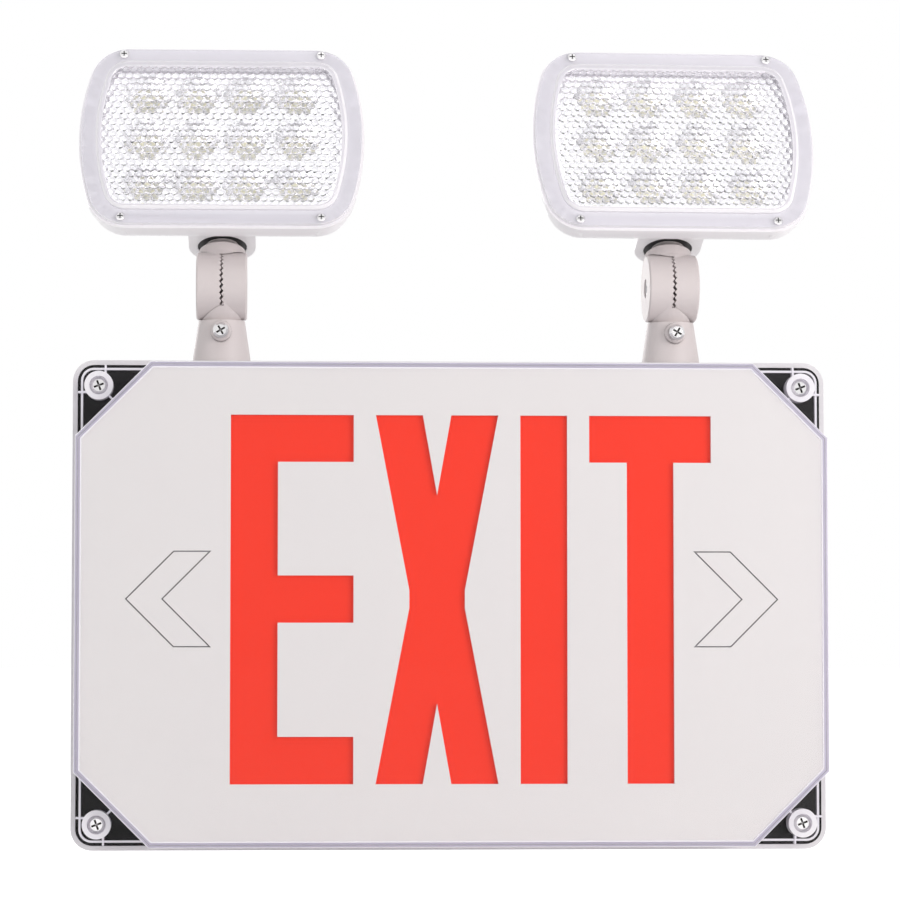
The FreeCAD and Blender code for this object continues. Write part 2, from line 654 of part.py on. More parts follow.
def strap_feet():
    reach = CELLS * CELL_R + STRAP_T + FIT + STRAP_FOOT / 2
    return [PACK_X - reach, PACK_X + reach]


def battery_strap():
    """Folded steel strap over the cells, with a foot on a boss at each end."""
    half = CELLS * CELL_R + FIT
    top = -BACK_WALL - FIT - 2 * CELL_R - FIT
    foot = -BACK_WALL - 6
    end = half + STRAP_T + STRAP_FOOT
    outline = Part.makePolygon([V(x, y, 0) for x, y in (
        (-end, foot), (-half, foot), (-half, top), (half, top), (half, foot), (end, foot),
        (end, foot - STRAP_T), (half + STRAP_T, foot - STRAP_T), (half + STRAP_T, top - STRAP_T),
        (-half - STRAP_T, top - STRAP_T), (-half - STRAP_T, foot - STRAP_T),
        (-end, foot - STRAP_T), (-end, foot))])
    strap = Part.Face(outline).extrude(V(0, 0, STRAP_W))
    strap = at(strap, PACK_X, 0, PACK_Z - STRAP_W / 2)
    return strap.cut([cyl_y(1.5, foot - STRAP_T - 1, foot + 1, x, PACK_Z) for x in strap_feet()])


def strap_screws():
    screw = turned(plain_screw(2.6, 1.6, 1.3, STRAP_T + 5), X, 90)
    return [at(screw, x, -BACK_WALL - 6 - STRAP_T, PACK_Z) for x in strap_feet()]


def wire_grommet():
    """Rubber plug in the rear wire entry, with a lip on each side of the wall."""
    r = WIRE_HOLE_D / 2
    plug = revolved([(0, 0.4), (r - 0.2, 0.4), (r - 0.2, BACK_WALL), (r + 2.2, BACK_WALL),
                     (r + 1.2, BACK_WALL + 1.6), (r - 3, BACK_WALL + 1.6), (r - 3, 2.2), (0, 2.2)])
    return turned(plug, X, 90)


def test_button():
    """Plunger with a stop collar behind the bezel; it moves along X."""
    wall = BOX_W / 2
    plunger = cyl_x(BUTTON_R, wall - BOX_WALL - 2, wall + BUTTON_PROUD, BUTTON_Y, BUTTON_Z)
    plunger = plunger.makeChamfer(0.8, [e for e in plunger.Edges
                                        if e.BoundBox.XMin > wall + BUTTON_PROUD - 0.1])
    collar = cyl_x(BUTTON_R + 1.5, wall - BOX_WALL - 2 - 1.5, wall - BOX_WALL - 2, BUTTON_Y, BUTTON_Z)
    return joined([plunger, collar])


def button_bezel():
    """Ring outside the wall and a sleeve through it that guides the plunger."""
    wall = BOX_W / 2
    bore = BUTTON_R + RUNNING
    ring = cyl_x(BEZEL_R, wall, wall + BEZEL_T, BUTTON_Y, BUTTON_Z)
    ring = ring.makeChamfer(0.6, [e for e in ring.Edges if e.BoundBox.XMin > wall + BEZEL_T / 2])
    sleeve = cyl_x(BUTTON_R + 2.0 - FIT / 4, wall - BOX_WALL - 1.4, wall, BUTTON_Y, BUTTON_Z)
    return joined([ring, sleeve]).cut(cyl_x(bore, wall - 20, wall + 20, BUTTON_Y, BUTTON_Z))


def test_switch():
    """Switch behind the plunger, on a bracket that is part of its own body."""
    face = BOX_W / 2 - BOX_WALL - 2 - 1.5 - BUTTON_TRAVEL - 0.7
    body = block(face - 12, face, BUTTON_Y - 6, BUTTON_Y + 6, BUTTON_Z - 8, BUTTON_Z + 8)
    leg = block(face - 12, face - 8, BUTTON_Y, -BACK_WALL, BUTTON_Z - 8, BUTTON_Z + 8)
    return joined([body, leg])


def status_lamp():
    wall = BOX_W / 2
    lens = cyl_x(LAMP_R - FIT / 2, wall - BOX_WALL - 4, wall + 0.8, BUTTON_Y, BUTTON_Z - LAMP_DROP)
    flange = cyl_x(LAMP_R + 1.2, wall - BOX_WALL - 1.2, wall - BOX_WALL, BUTTON_Y,
                   BUTTON_Z - LAMP_DROP)
    lens = lens.makeChamfer(0.6, [e for e in lens.Edges if e.BoundBox.XMin > wall])
    return joined([lens, flange])


# --------------------------------------- arm, in a frame on the tilt axis
def arm_foot():
    """Conical foot with a bore for the arm's spigot, a clamp boss and a hollow stud."""
    bore = SPIGOT_R + RUNNING
    stud_end = FOOT_BASE - FOOT_SEAL_T - STUD_L
    passage = WIRE_R + 1.5
    body = revolved([(passage, stud_end), (STUD_R, stud_end), (STUD_R, FOOT_BASE),
                     (FOOT_BASE_R, FOOT_BASE), (FOOT_BASE_R, FOOT_BASE + 1.2),
                     (FOOT_TOP_R, FOOT_TOP), (bore, FOOT_TOP), (bore, BORE_FLOOR),
                     (passage, BORE_FLOOR)])
    boss = cyl_y(CLAMP_BOSS_R, -SPIGOT_R - 1, -CLAMP_BOSS_OUT, 0, CLAMP_Z)
    boss = boss.makeChamfer(0.7, [e for e in boss.Edges if e.BoundBox.YMax < -CLAMP_BOSS_OUT + 0.1])
    body = joined([body, boss])
    return body.cut(cyl_y(CLAMP_D / 2, 0, -CLAMP_BOSS_OUT - 1, 0, CLAMP_Z))


def foot_seal():
    ring = cyl_z(FOOT_BASE_R - 0.3, FOOT_BASE - FOOT_SEAL_T, FOOT_BASE)
    return ring.cut(cyl_z(STUD_R + FIT / 2, FOOT_BASE - 5, FOOT_BASE + 5))


def foot_locknut():
    """Thin hexagonal nut inside the box, hard against the underside of its top."""
    top = FOOT_BASE - FOOT_SEAL_T - BOX_WALL
    nut = at(hexagon(LOCKNUT_AF, LOCKNUT_T), 0, 0, top - LOCKNUT_T)
    return nut.cut(cyl_z(STUD_R, top - 10, top + 10))


def clamp_screw():
    """Screw through the foot's boss; its tip runs in the spigot's groove."""
    under_head = CLAMP_BOSS_OUT + CLAMP_PROUD
    tip = SPIGOT_R - GROOVE_DEPTH + 0.3
    screw = cross_screw(CLAMP_HEAD_D / 2, CLAMP_HEAD_H, CLAMP_D / 2, under_head - tip)
    return at(turned(turned(screw, Z, 30), X, 90), 0, -under_head, CLAMP_Z)


def tooth_grooves(phase):
    """Radial V grooves that leave one ring of teeth, as cutters from the tip plane.

    The teeth taper to the centre, as on any face serration that must mesh.
    """
    half = math.tan(2 * math.pi / TEETH * 0.47)
    cutter = frustum(*[[V(0, -r * half, -r), V(0, r * half, -r), V(TOOTH_H * r / DISC_R, 0, -r)]
                       for r in (DISC_R * 1.1, TOOTH_RING_R * 0.8)])
    return [turned(cutter, X, phase + 360.0 * i / TEETH) for i in range(TEETH)]


def half_knuckle(end, phase, deep):
    """Disc on the +X side with its teeth at X = TIP_GAP / 2, and a neck along -Z.

    The neck also passes under the other piece's disc, which it clears by
    SWEEP_GAP. The end is the turned part that carries on from the neck.
    """
    face = TIP_GAP / 2
    far = face + DISC_T
    round_ring = Part.Wire(Part.makeCircle(NECK_R, V(0, 0, -NECK_LOW), Z))
    oval = Part.Ellipse(V(0, deep, 0), V(NECK_WIDE, 0, 0), V(0, 0, 0)).toShape()
    ovals = [at(Part.Wire(oval), 0, 0, -h) for h in (deep * 0.33, 0)]
    neck = Part.makeLoft([round_ring, ovals[0]], True, True)
    neck = neck.fuse(Part.makeLoft(ovals, True, True))
    sweep = cyl_x(DISC_R + SWEEP_GAP, -2 * DISC_T, face + TOOTH_H)
    disc = cyl_x(DISC_R, face, far)
    rim = [e for e in disc.Edges if e.BoundBox.XMin > far - 0.01]
    disc = disc.makeChamfer(DISC_EDGE, rim).cut(tooth_grooves_at(face, phase))
    body = joined([neck.fuse(end).cut(sweep), disc])
    hub = cyl_x(TOOTH_RING_R, face - 1, face + 2.4)
    channel = cyl_z(WIRE_R, -60, -TOOTH_RING_R + 1)
    return body.cut([hub, channel])


def tooth_grooves_at(face, phase):
    return [at(g, face) for g in tooth_grooves(phase)]


def tooth_phase():
    """Turn of each ring of teeth that puts crests opposite valleys at rest."""
    pitch = 360.0 / TEETH
    return (pitch / 2 + REST_TILT) / 2


def lower_knuckle():
    """Half knuckle with the spigot that turns in the foot; its disc is at +X."""
    groove_r, groove_w = SPIGOT_R - GROOVE_DEPTH, CLAMP_D / 2 + 0.3
    end = revolved([(0, -NECK_LOW), (NECK_R, -NECK_LOW), (SPIGOT_R, FOOT_TOP + 0.1),
                    (SPIGOT_R, CLAMP_Z + groove_w), (groove_r, CLAMP_Z + groove_w),
                    (groove_r, CLAMP_Z - groove_w), (SPIGOT_R, CLAMP_Z - groove_w),
                    (SPIGOT_R, BORE_FLOOR + RUNNING), (0, BORE_FLOOR + RUNNING)])
    body = half_knuckle(end, tooth_phase(), FOOT_NECK_DEEP)
    bolt_hole = cyl_x(BOLT_D / 2, -1, 2 * DISC_T)
    sink = cyl_x(BOLT_HEAD_D / 2 + FIT / 2, TIP_GAP / 2 + DISC_T - BOLT_SINK, 2 * DISC_T)
    return body.cut([bolt_hole, sink])


def upper_knuckle():
    """Half knuckle with the stem that holds the head; its disc is at -X."""
    stem_top = STEM_TOP
    end = revolved([(0, -NECK_LOW), (NECK_R, -NECK_LOW), (NECK_R, -COLLAR_FOOT + SHOULDER),
                    (STEM_R, -COLLAR_FOOT), (STEM_R, -stem_top), (0, -stem_top)])
    body = half_knuckle(end, tooth_phase(), STEM_NECK_DEEP)
    bolt_hole = cyl_x(BOLT_D / 2 + RUNNING, -1, 2 * DISC_T)
    pocket = turned(hexagon(NUT_AF + FIT, DISC_T), Y, 90)
    body = body.cut([bolt_hole, at(pocket, TIP_GAP / 2 + DISC_T - NUT_SINK)])
    return turned(body, Y, 180)


def knuckle_bolt():
    """Socket cap bolt through both discs, its head in the lower piece."""
    seat = TIP_GAP / 2 + DISC_T - BOLT_SINK
    head = cyl_x(BOLT_HEAD_D / 2, seat, seat + BOLT_HEAD_H)
    head = head.makeChamfer(0.4, [e for e in head.Edges if e.BoundBox.XMin > seat + 1])
    socket = turned(hexagon(BOLT_D * 0.8, BOLT_HEAD_H), Y, 90)
    end = -TIP_GAP / 2 - DISC_T + NUT_SINK - NUT_T
    bolt = joined([head, cyl_x(BOLT_D / 2, end, seat)])
    return bolt.cut(at(socket, seat + BOLT_HEAD_H * 0.45))


def knuckle_nut():
    """Hexagonal nut in the pocket of the upper piece's disc."""
    nut = turned(hexagon(NUT_AF, NUT_T), Y, -90)
    nut = at(nut, -TIP_GAP / 2 - DISC_T + NUT_SINK)
    return nut.cut(cyl_x(BOLT_D / 2 + RUNNING, -3 * DISC_T, 0))


# --------------------------- lamp head, upright, in a frame on the tilt axis
def head_back(inset, y_front):
    """The body behind the rim and the edges round its back."""
    body = slab(head_outline(HEAD_RIM_STEP + inset), y_front, HOUSING_BACK - inset)
    return body, [e for e in body.Edges if e.BoundBox.YMin > HOUSING_BACK - inset - 0.01]


def lens_screw_places():
    return [(x, HEAD_RISE + z) for x, z in four(LENS_SCREW_X, LENS_SCREW_Z)]


def lamp_housing():
    """Shallow round-backed tray, and behind it the turret that holds the neck's stem."""
    rim = slab(head_outline(), RIM_FRONT, RIM_FRONT + HEAD_RIM_T)
    back, edges = head_back(0, RIM_FRONT)
    tray = joined([rim, back.makeFillet(HEAD_BACK_R, edges)])
    top, floor = COLLAR_FOOT + TURRET_H, COLLAR_FOOT + COLLAR_H
    turret = joined([cyl_z(COLLAR_R, COLLAR_FOOT, top),
                     block(-COLLAR_R, COLLAR_R, HOUSING_BACK - HEAD_WALL / 2, 0, COLLAR_FOOT, top)])
    turret = turret.makeChamfer(TURRET_EDGE, [e for e in turret.Edges if e.BoundBox.ZMin > top - 0.1])
    inside, edges = head_back(HEAD_WALL, RIM_FRONT - 1)
    room = inside.makeChamfer(HEAD_BACK_R * 0.4, edges)
    ceiling = top - TURRET_EDGE - 1
    nut_room = cyl_z(COLLAR_R - HEAD_WALL, floor, ceiling)
    wire_way = block(-2 * WIRE_R, 2 * WIRE_R, HOUSING_BACK - HEAD_WALL - 1, 0, ceiling - 2 * WIRE_R, ceiling)
    body = joined([tray, turret]).cut([room, nut_room, wire_way])
    posts = [cyl_y(LENS_POST_R, RIM_FRONT, RIM_FRONT + LENS_SCREW_L + 2, x, z)
             for x, z in lens_screw_places()]
    w, h = led_board_size()
    posts += [cyl_y(2.5, led_board_back(), HOUSING_BACK - HEAD_WALL / 2, x, HEAD_RISE + z)
              for x, z in four(w / 2 - 4, h / 2 - 4)]
    body = joined([body] + posts)
    mouth = cyl_z(MOUTH_R, COLLAR_FOOT - 1, COLLAR_FOOT + MOUTH_DEPTH)
    stem_hole = cyl_z(STEM_R + FIT / 2, COLLAR_FOOT, COLLAR_FOOT + COLLAR_H + 1)
    holes = [cyl_y(LENS_SCREW_R, RIM_FRONT - 1, RIM_FRONT + LENS_SCREW_L, x, z)
             for x, z in lens_screw_places()]
    return body.cut([mouth, stem_hole] + holes)


def collar_seal():
    """Black ring in the collar's mouth, pressed on by the neck's shoulder."""
    top = COLLAR_FOOT + MOUTH_DEPTH
    ring = cyl_z(MOUTH_R - FIT / 4, COLLAR_FOOT + 0.6, top)
    return ring.cut(cyl_z(STEM_R, COLLAR_FOOT - 5, top + 5))


def stem_nut():
    base = COLLAR_FOOT + COLLAR_H
    nut = at(turned(hexagon(STEM_NUT_AF, STEM_NUT_T), Z, 30), 0, 0, base)
    return nut.cut(cyl_z(STEM_R, base - 5, base + 10))


def lamp_gasket():
    """Thin pale gasket between the housing's rim and the lens."""
    front = RIM_FRONT - LAMP_GASKET_T
    ring = slab(head_outline(LENS_EDGE + 0.3), front, RIM_FRONT)
    ring = ring.cut(slab(head_outline(LENS_EDGE + 0.3 + LAMP_GASKET_W + 2.6), front - 1, RIM_FRONT + 1))
    return ring.cut([cyl_y(LENS_SCREW_R + FIT, front - 1, RIM_FRONT + 1, x, z)
                     for x, z in lens_screw_places()])


def lamp_lens():
    """Clear lens: a flat flange and a raised, hollow-backed window."""
    back = -HEAD_FRONT + LENS_T
    flange = slab(head_outline(LENS_EDGE), -HEAD_FRONT, back)
    window = slab(head_outline(WINDOW_INSET), -HEAD_FRONT - WINDOW_RISE, back)
    edge = [e for e in window.Edges if e.BoundBox.YMax < -HEAD_FRONT - WINDOW_RISE + 0.01]
    window = window.makeChamfer(WINDOW_RISE * 0.5, edge)
    hollow = slab(head_outline(WINDOW_INSET + LENS_T), -HEAD_FRONT - WINDOW_RISE + LENS_T, back + 1)
    lens = joined([flange, window]).cut(hollow)
    return lens.cut([cyl_y(LENS_SCREW_R + FIT, -HEAD_FRONT - 1, back + 1, x, z)
                     for x, z in lens_screw_places()])


def lens_screws():
    length = LENS_T + LAMP_GASKET_T + LENS_SCREW_L - 1
    screw = turned(cross_screw(LENS_SCREW_HEAD_R, 1.2, LENS_SCREW_R, length), X, 90)
    return [at(screw, x, -HEAD_FRONT, z) for x, z in lens_screw_places()]


def cup_places():
    return [((c - (CUP_COLS - 1) / 2) * CUP_PITCH, HEAD_RISE + (r - (CUP_ROWS - 1) / 2) * CUP_PITCH)
            for c in range(CUP_COLS) for r in range(CUP_ROWS)]


def reflector_front():
    return RIM_FRONT + 1.0


def led_board_back():
    return reflector_front() + CUP_DEPTH + LED_BOARD_T


def led_board_size():
    edge = LED_SIZE + 2 * LED_BOARD_EDGE
    return (CUP_COLS - 1) * CUP_PITCH + edge, (CUP_ROWS - 1) * CUP_PITCH + edge


def reflector():
    """Bright plate with a faceted cup for each diode."""
    front = reflector_front()
    inset = HEAD_RIM_STEP + HEAD_WALL + 3.4
    plate = slab(head_outline(inset), front, front + REFLECTOR_T)
    slope = (CUP_R - CUP_LED_R) / CUP_DEPTH
    shell = frustum(ngon(CUP_R + CUP_WALL, CUP_SIDES, 0),
                    ngon(CUP_LED_R + CUP_WALL, CUP_SIDES, CUP_DEPTH))
    hollow = frustum(ngon(CUP_R + slope, CUP_SIDES, -1),
                     ngon(CUP_LED_R - slope, CUP_SIDES, CUP_DEPTH + 1))
    cups, hollows = [[at(turned(cone, X, -90), x, front, z) for x, z in cup_places()]
                     for cone in (shell, hollow)]
    return joined([plate] + cups).cut(hollows)


def led_board():
    w, h = led_board_size()
    back = led_board_back()
    return block(-w / 2, w / 2, back - LED_BOARD_T, back, HEAD_RISE - h / 2, HEAD_RISE + h / 2)


def lamp_leds():
    front = led_board_back() - LED_BOARD_T
    s = LED_SIZE / 2
    return [block(x - s, x + s, front - LED_T, front, z - s, z + s) for x, z in cup_places()]


# ---------------------------------------------------------------- assembly
def arm_and_head(side):
    """All pieces of one arm, placed. The right arm is the left one mirrored."""
    flip = side == "right"
    hand = 1 if flip else -1
    fixed = {"arm_foot": arm_foot(), "foot_seal": foot_seal(), "foot_locknut": foot_locknut(),
             "clamp_screw": clamp_screw()}
    panned = {"lower_knuckle": lower_knuckle(), "knuckle_bolt": knuckle_bolt()}
    tilted = {"upper_knuckle": upper_knuckle(), "knuckle_nut": knuckle_nut(),
              "collar_seal": collar_seal(), "stem_nut": stem_nut(),
              "lamp_housing": lamp_housing(), "lamp_gasket": lamp_gasket(),
              "lamp_lens": lamp_lens(), "lens_screws": lens_screws(),
              "reflector": reflector(), "led_board": led_board(), "lamp_leds": lamp_leds()}
    placed = {}
    for group, tilt, turn in ((fixed, 0, FOOT_TURN[side]), (panned, 0, REST_PAN[side]),
                              (tilted, REST_TILT, REST_PAN[side])):
        for name, piece in group.items():
            solid = Part.makeCompound(piece) if isinstance(piece, list) else piece
            if flip:
                solid = mirrored_x(solid)
            solid = turned(turned(solid, X, -tilt), Z, turn)
            placed[side + "_" + name] = at(solid, hand * ARM_X, ARM_Y, AXIS_Z)
    return placed


def build():
    nodes = {
        "back_box": back_box(), "cover_gasket": cover_gasket(), "front_cover": front_cover(),
        "cover_screws": cover_screws(), "legend_tray": legend_tray(),
        "red_diffuser": red_diffuser(), "diode_plate": diode_plate(),
        "plate_screws": plate_screws(), "diode_strips": diode_strips(),
        "sign_diodes": sign_diodes(), "charger_board": charger_board(),
        "board_screws": board_screws(), "transformer": transformer(),
        "capacitors": capacitors(), "terminal_block": terminal_block(),
        "battery_pack": battery_pack(), "battery_strap": battery_strap(),
        "strap_screws": strap_screws(), "wire_grommet": wire_grommet(),
        "test_button": test_button(), "button_bezel": button_bezel(),
        "test_switch": test_switch(), "status_lamp": status_lamp(),
    }
    for side in ("left", "right"):
        nodes.update(arm_and_head(side))
    return nodes


os.makedirs("parts", exist_ok=True)
for node, piece in build().items():
    solid = Part.makeCompound(piece) if isinstance(piece, list) else piece
    solid.exportStep("parts/" + node + ".step")
    print(node, len(solid.Solids), "solid(s)", round(solid.Volume), "mm3", solid.isValid())
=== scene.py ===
# %% [markdown]
# # An exit sign with two lamp heads, dressed for its picture
# The solids of this wet-location exit sign come from the workshop model. Here they get their
# finishes, and the pieces whose look depends on fine relief, such as the beaded lamp lenses,
# are made as surfaces worked out from formulas. Everything is in metres. The origin is the
# middle of the back box's rear face, +X is to the right, +Y goes into the wall, +Z is up.

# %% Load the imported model
import json
import math

import bmesh
import bpy
import numpy as np
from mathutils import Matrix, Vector


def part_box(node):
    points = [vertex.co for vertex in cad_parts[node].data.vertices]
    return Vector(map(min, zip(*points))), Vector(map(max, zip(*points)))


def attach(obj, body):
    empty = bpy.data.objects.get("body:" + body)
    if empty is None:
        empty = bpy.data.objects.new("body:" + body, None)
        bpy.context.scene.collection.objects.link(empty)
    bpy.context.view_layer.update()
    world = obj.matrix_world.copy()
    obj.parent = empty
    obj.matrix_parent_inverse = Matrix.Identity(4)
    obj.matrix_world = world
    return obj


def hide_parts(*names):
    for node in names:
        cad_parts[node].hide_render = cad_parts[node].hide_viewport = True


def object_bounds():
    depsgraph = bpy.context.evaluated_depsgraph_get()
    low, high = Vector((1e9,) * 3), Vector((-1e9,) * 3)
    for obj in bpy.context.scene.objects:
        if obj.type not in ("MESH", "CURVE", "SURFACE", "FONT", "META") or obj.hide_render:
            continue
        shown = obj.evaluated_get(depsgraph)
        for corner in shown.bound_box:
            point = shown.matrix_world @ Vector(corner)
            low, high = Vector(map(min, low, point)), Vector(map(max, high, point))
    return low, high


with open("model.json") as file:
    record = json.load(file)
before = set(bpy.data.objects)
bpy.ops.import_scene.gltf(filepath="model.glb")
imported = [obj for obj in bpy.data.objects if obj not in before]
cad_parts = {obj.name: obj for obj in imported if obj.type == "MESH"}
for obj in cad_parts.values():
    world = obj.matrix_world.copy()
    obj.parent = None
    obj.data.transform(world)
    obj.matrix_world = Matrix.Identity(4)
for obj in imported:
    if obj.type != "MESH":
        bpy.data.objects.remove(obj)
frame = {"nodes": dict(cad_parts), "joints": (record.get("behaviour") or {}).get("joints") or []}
CAD_BOX = [list(corner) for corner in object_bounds()]
print("nodes:", len(frame["nodes"]), "box:", CAD_BOX)

# %% [markdown]
# ## Camera
# A sign like this is sold from a square front view, taken from well back with a long lens so
# that its sides hardly show. We could aim the camera by hand, but two angles and a distance
# say the same thing in numbers that are easy to change, so the place is worked out from them.

# %% Camera in front of the sign
SENSOR_WIDTH = 36.0             # millimetres, as the lens is


def place_camera(target, azimuth, elevation, distance, lens):
    """Puts a camera on a sphere round the target and turns it to look at the middle."""
    a, e = math.radians(azimuth), math.radians(elevation)
    back = Vector((math.sin(a) * math.cos(e), -math.cos(a) * math.cos(e), math.sin(e)))
    data = bpy.data.cameras.new("front_camera")
    data.lens, data.sensor_width = lens, SENSOR_WIDTH
    camera = bpy.data.objects.new("front_camera", data)
    camera.location = Vector(target) + back * distance
    camera.rotation_euler = (-back).to_track_quat("-Z", "Y").to_euler()
    bpy.context.scene.collection.objects.link(camera)
    bpy.context.scene.camera = camera
    return camera


bpy.context.scene.view_settings.view_transform = "Standard"
camera = place_camera(target=(-0.00145, -0.083, 0.0636), azimuth=-3.0, elevation=-3.3,
                      distance=1.476, lens=142.74)
print("camera at", [round(v, 3) for v in camera.location])

# %% [markdown]
# ## Light and ground
# High-key product light is mostly a bright white room with one broad soft lamp to give the
# rounded pieces a lighter and a darker side. The room is the world colour. Seen directly, in
# a mirror or through clear plastic it is plain white, and on matt surfaces it falls a little
# weaker, which leaves room for the lamps without washing the colours out.

# %% White room
def tree_of(owner):
    """The emptied nodes and links of a world or a material."""
    owner.use_nodes = True
    owner.node_tree.nodes.clear()
    return owner.node_tree.nodes, owner.node_tree.links


def sum_node(nodes, operation):
    """A Math node that does the given sum."""
    node = nodes.new("ShaderNodeMath")
    node.operation = operation
    return node


def seen_plainly(nodes, links):
    """1 for a ray that came from the camera, a mirror or clear plastic, and 0 for the rest."""
    path = nodes.new("ShaderNodeLightPath")
    first = sum_node(nodes, "MAXIMUM")
    second = sum_node(nodes, "MAXIMUM")
    links.new(path.outputs["Is Camera Ray"], first.inputs[0])
    links.new(path.outputs["Is Glossy Ray"], first.inputs[1])
    links.new(first.outputs[0], second.inputs[0])
    links.new(path.outputs["Is Transmission Ray"], second.inputs[1])
    return second.outputs[0]


ROOM_LIGHT = 0.60               # strength on matt surfaces
ROOM_SEEN = 1.0                 # strength where the room is seen plainly
world = bpy.data.worlds.new("white_room")
bpy.context.scene.world = world
nodes, links = tree_of(world)
strength = nodes.new("ShaderNodeMapRange")
strength.inputs["To Min"].default_value = ROOM_LIGHT
strength.inputs["To Max"].default_value = ROOM_SEEN
room = nodes.new("ShaderNodeBackground")
room.inputs["Color"].default_value = (1, 1, 1, 1)
out = nodes.new("ShaderNodeOutputWorld")
links.new(seen_plainly(nodes, links), strength.inputs["Value"])
links.new(strength.outputs["Result"], room.inputs["Strength"])
links.new(room.outputs[0], out.inputs["Surface"])
print("room light", ROOM_LIGHT)

# %% Soft lamps
MIDDLE = (0.0, -0.05, 0.06)


def soft_lamp(name, place, size, watts, colour=(1, 1, 1)):
    """A square lamp turned to look at the sign's middle."""
    data = bpy.data.lights.new(name, "AREA")
    data.color = colour
    data.shape, data.size, data.energy = "SQUARE", size, watts
    lamp = bpy.data.objects.new(name, data)
    lamp.location = place
    lamp.rotation_euler = (Vector(MIDDLE) - Vector(place)).to_track_quat("-Z", "Y").to_euler()
    bpy.context.scene.collection.objects.link(lamp)


soft_lamp("key_lamp", (1.0, -1.2, 0.32), size=0.8, watts=10.8, colour=(1.0, 0.95, 0.945))
soft_lamp("fill_lamp", (-1.1, -1.2, 0.28), size=0.7, watts=2.5)
soft_lamp("top_lamp", (0.2, -0.5, 1.7), size=1.0, watts=3.0)
soft_lamp("back_lamp", (-0.6, 1.5, 0.7), size=1.0, watts=9.0)

# %% [markdown]
# The ground is one plain pale sheet a little below the sign, which hangs on a wall in use. Its
# own glow in the directly seen rays brings it up to the white of the room, and the shadow of
# the object still falls on it.

# %% Pale ground
GROUND_SIZE = 60.0
GROUND_GAP = 0.03               # from the sign's bottom down to the sheet
PAPER_WHITE = 0.94
PAPER_GLOW = 0.5


def ground(size, height):
    """Four corners of a square, level at the given height."""
    corners = np.array([(-1, -1), (1, -1), (1, 1), (-1, 1)]) * size / 2
    mesh = bpy.data.meshes.new("ground")
    mesh.from_pydata([(x, y, height) for x, y in corners.tolist()], [], [(0, 1, 2, 3)])
    sheet = bpy.data.objects.new("ground", mesh)
    bpy.context.scene.collection.objects.link(sheet)
    return sheet


floor = ground(GROUND_SIZE, CAD_BOX[0][2] - GROUND_GAP)
paper = bpy.data.materials.new("pale_paper")
nodes, links = tree_of(paper)
matt = nodes.new("ShaderNodeBsdfDiffuse")
matt.inputs["Color"].default_value = (PAPER_WHITE, PAPER_WHITE, PAPER_WHITE, 1)
glow = nodes.new("ShaderNodeEmission")
total = nodes.new("ShaderNodeAddShader")
out = nodes.new("ShaderNodeOutputMaterial")
lift = sum_node(nodes, "MULTIPLY")
lift.inputs[1].default_value = PAPER_GLOW
links.new(seen_plainly(nodes, links), lift.inputs[0])
links.new(lift.outputs[0], glow.inputs["Strength"])
links.new(matt.outputs[0], total.inputs[0])
links.new(glow.outputs[0], total.inputs[1])
links.new(total.outputs[0], out.inputs["Surface"])
floor.data.materials.append(paper)
print("ground at", round(CAD_BOX[0][2] - GROUND_GAP, 4))

# %% [markdown]
# ## Shared surface effects
# Moulded plastic is never quite even: the tool leaves a fine grain, and the colour drifts by
# a percent or two over the part. Both are used by many finishes, so each is built once as a
# node group that puts out values and normals, and every material sets its own amounts.

# %% Group helper
def effect_group(name, inputs, outputs):
    """An empty node group with named number, colour or vector sockets. Gives back the group,
    its nodes and links, and the nodes that hold what goes in and what comes out."""
    kinds = {"number": "NodeSocketFloat", "colour": "NodeSocketColor", "vector": "NodeSocketVector"}
    group = bpy.data.node_groups.new(name, "ShaderNodeTree")
    for label, kind, value in inputs:
        socket = group.interface.new_socket(label, in_out="INPUT", socket_type=kinds[kind])
        socket.default_value = value
    for label, kind in outputs:
        group.interface.new_socket(label, in_out="OUTPUT", socket_type=kinds[kind])
    given = group.nodes.new("NodeGroupInput")
    result = group.nodes.new("NodeGroupOutput")
    return group, group.nodes, group.links, given, result


def metres(nodes):
    """Place on the object, in metres."""
    return nodes.new("ShaderNodeTexCoord").outputs["Object"]


def colour_blend(nodes):
    """A Mix node for colours."""
    node = nodes.new("ShaderNodeMix")
    node.data_type = "RGBA"
    return node


# %% Moulded grain
GRAIN_HEIGHT = 0.0002           # height of the grain at full depth
grain, nodes, links, given, result = effect_group(
    "moulded_grain",
    [("Per metre", "number", 900.0), ("Depth", "number", 0.15), ("Shine", "number", 0.4),
     ("Shine spread", "number", 0.05)],
    [("Normal", "vector"), ("Roughness", "number")])
speck = nodes.new("ShaderNodeTexNoise")
speck.inputs["Detail"].default_value = 3.0
links.new(metres(nodes), speck.inputs["Vector"])
links.new(given.outputs["Per metre"], speck.inputs["Scale"])
bump = nodes.new("ShaderNodeBump")
bump.inputs["Distance"].default_value = GRAIN_HEIGHT
links.new(given.outputs["Depth"], bump.inputs["Strength"])
links.new(speck.outputs["Fac"], bump.inputs["Height"])
centred = sum_node(nodes, "SUBTRACT")
centred.inputs[1].default_value = 0.5
spread = sum_node(nodes, "MULTIPLY_ADD")
links.new(speck.outputs["Fac"], centred.inputs[0])
links.new(centred.outputs[0], spread.inputs[0])
links.new(given.outputs["Shine spread"], spread.inputs[1])
links.new(given.outputs["Shine"], spread.inputs[2])
links.new(bump.outputs["Normal"], result.inputs["Normal"])
links.new(spread.outputs[0], result.inputs["Roughness"])
print("group:", grain.name)

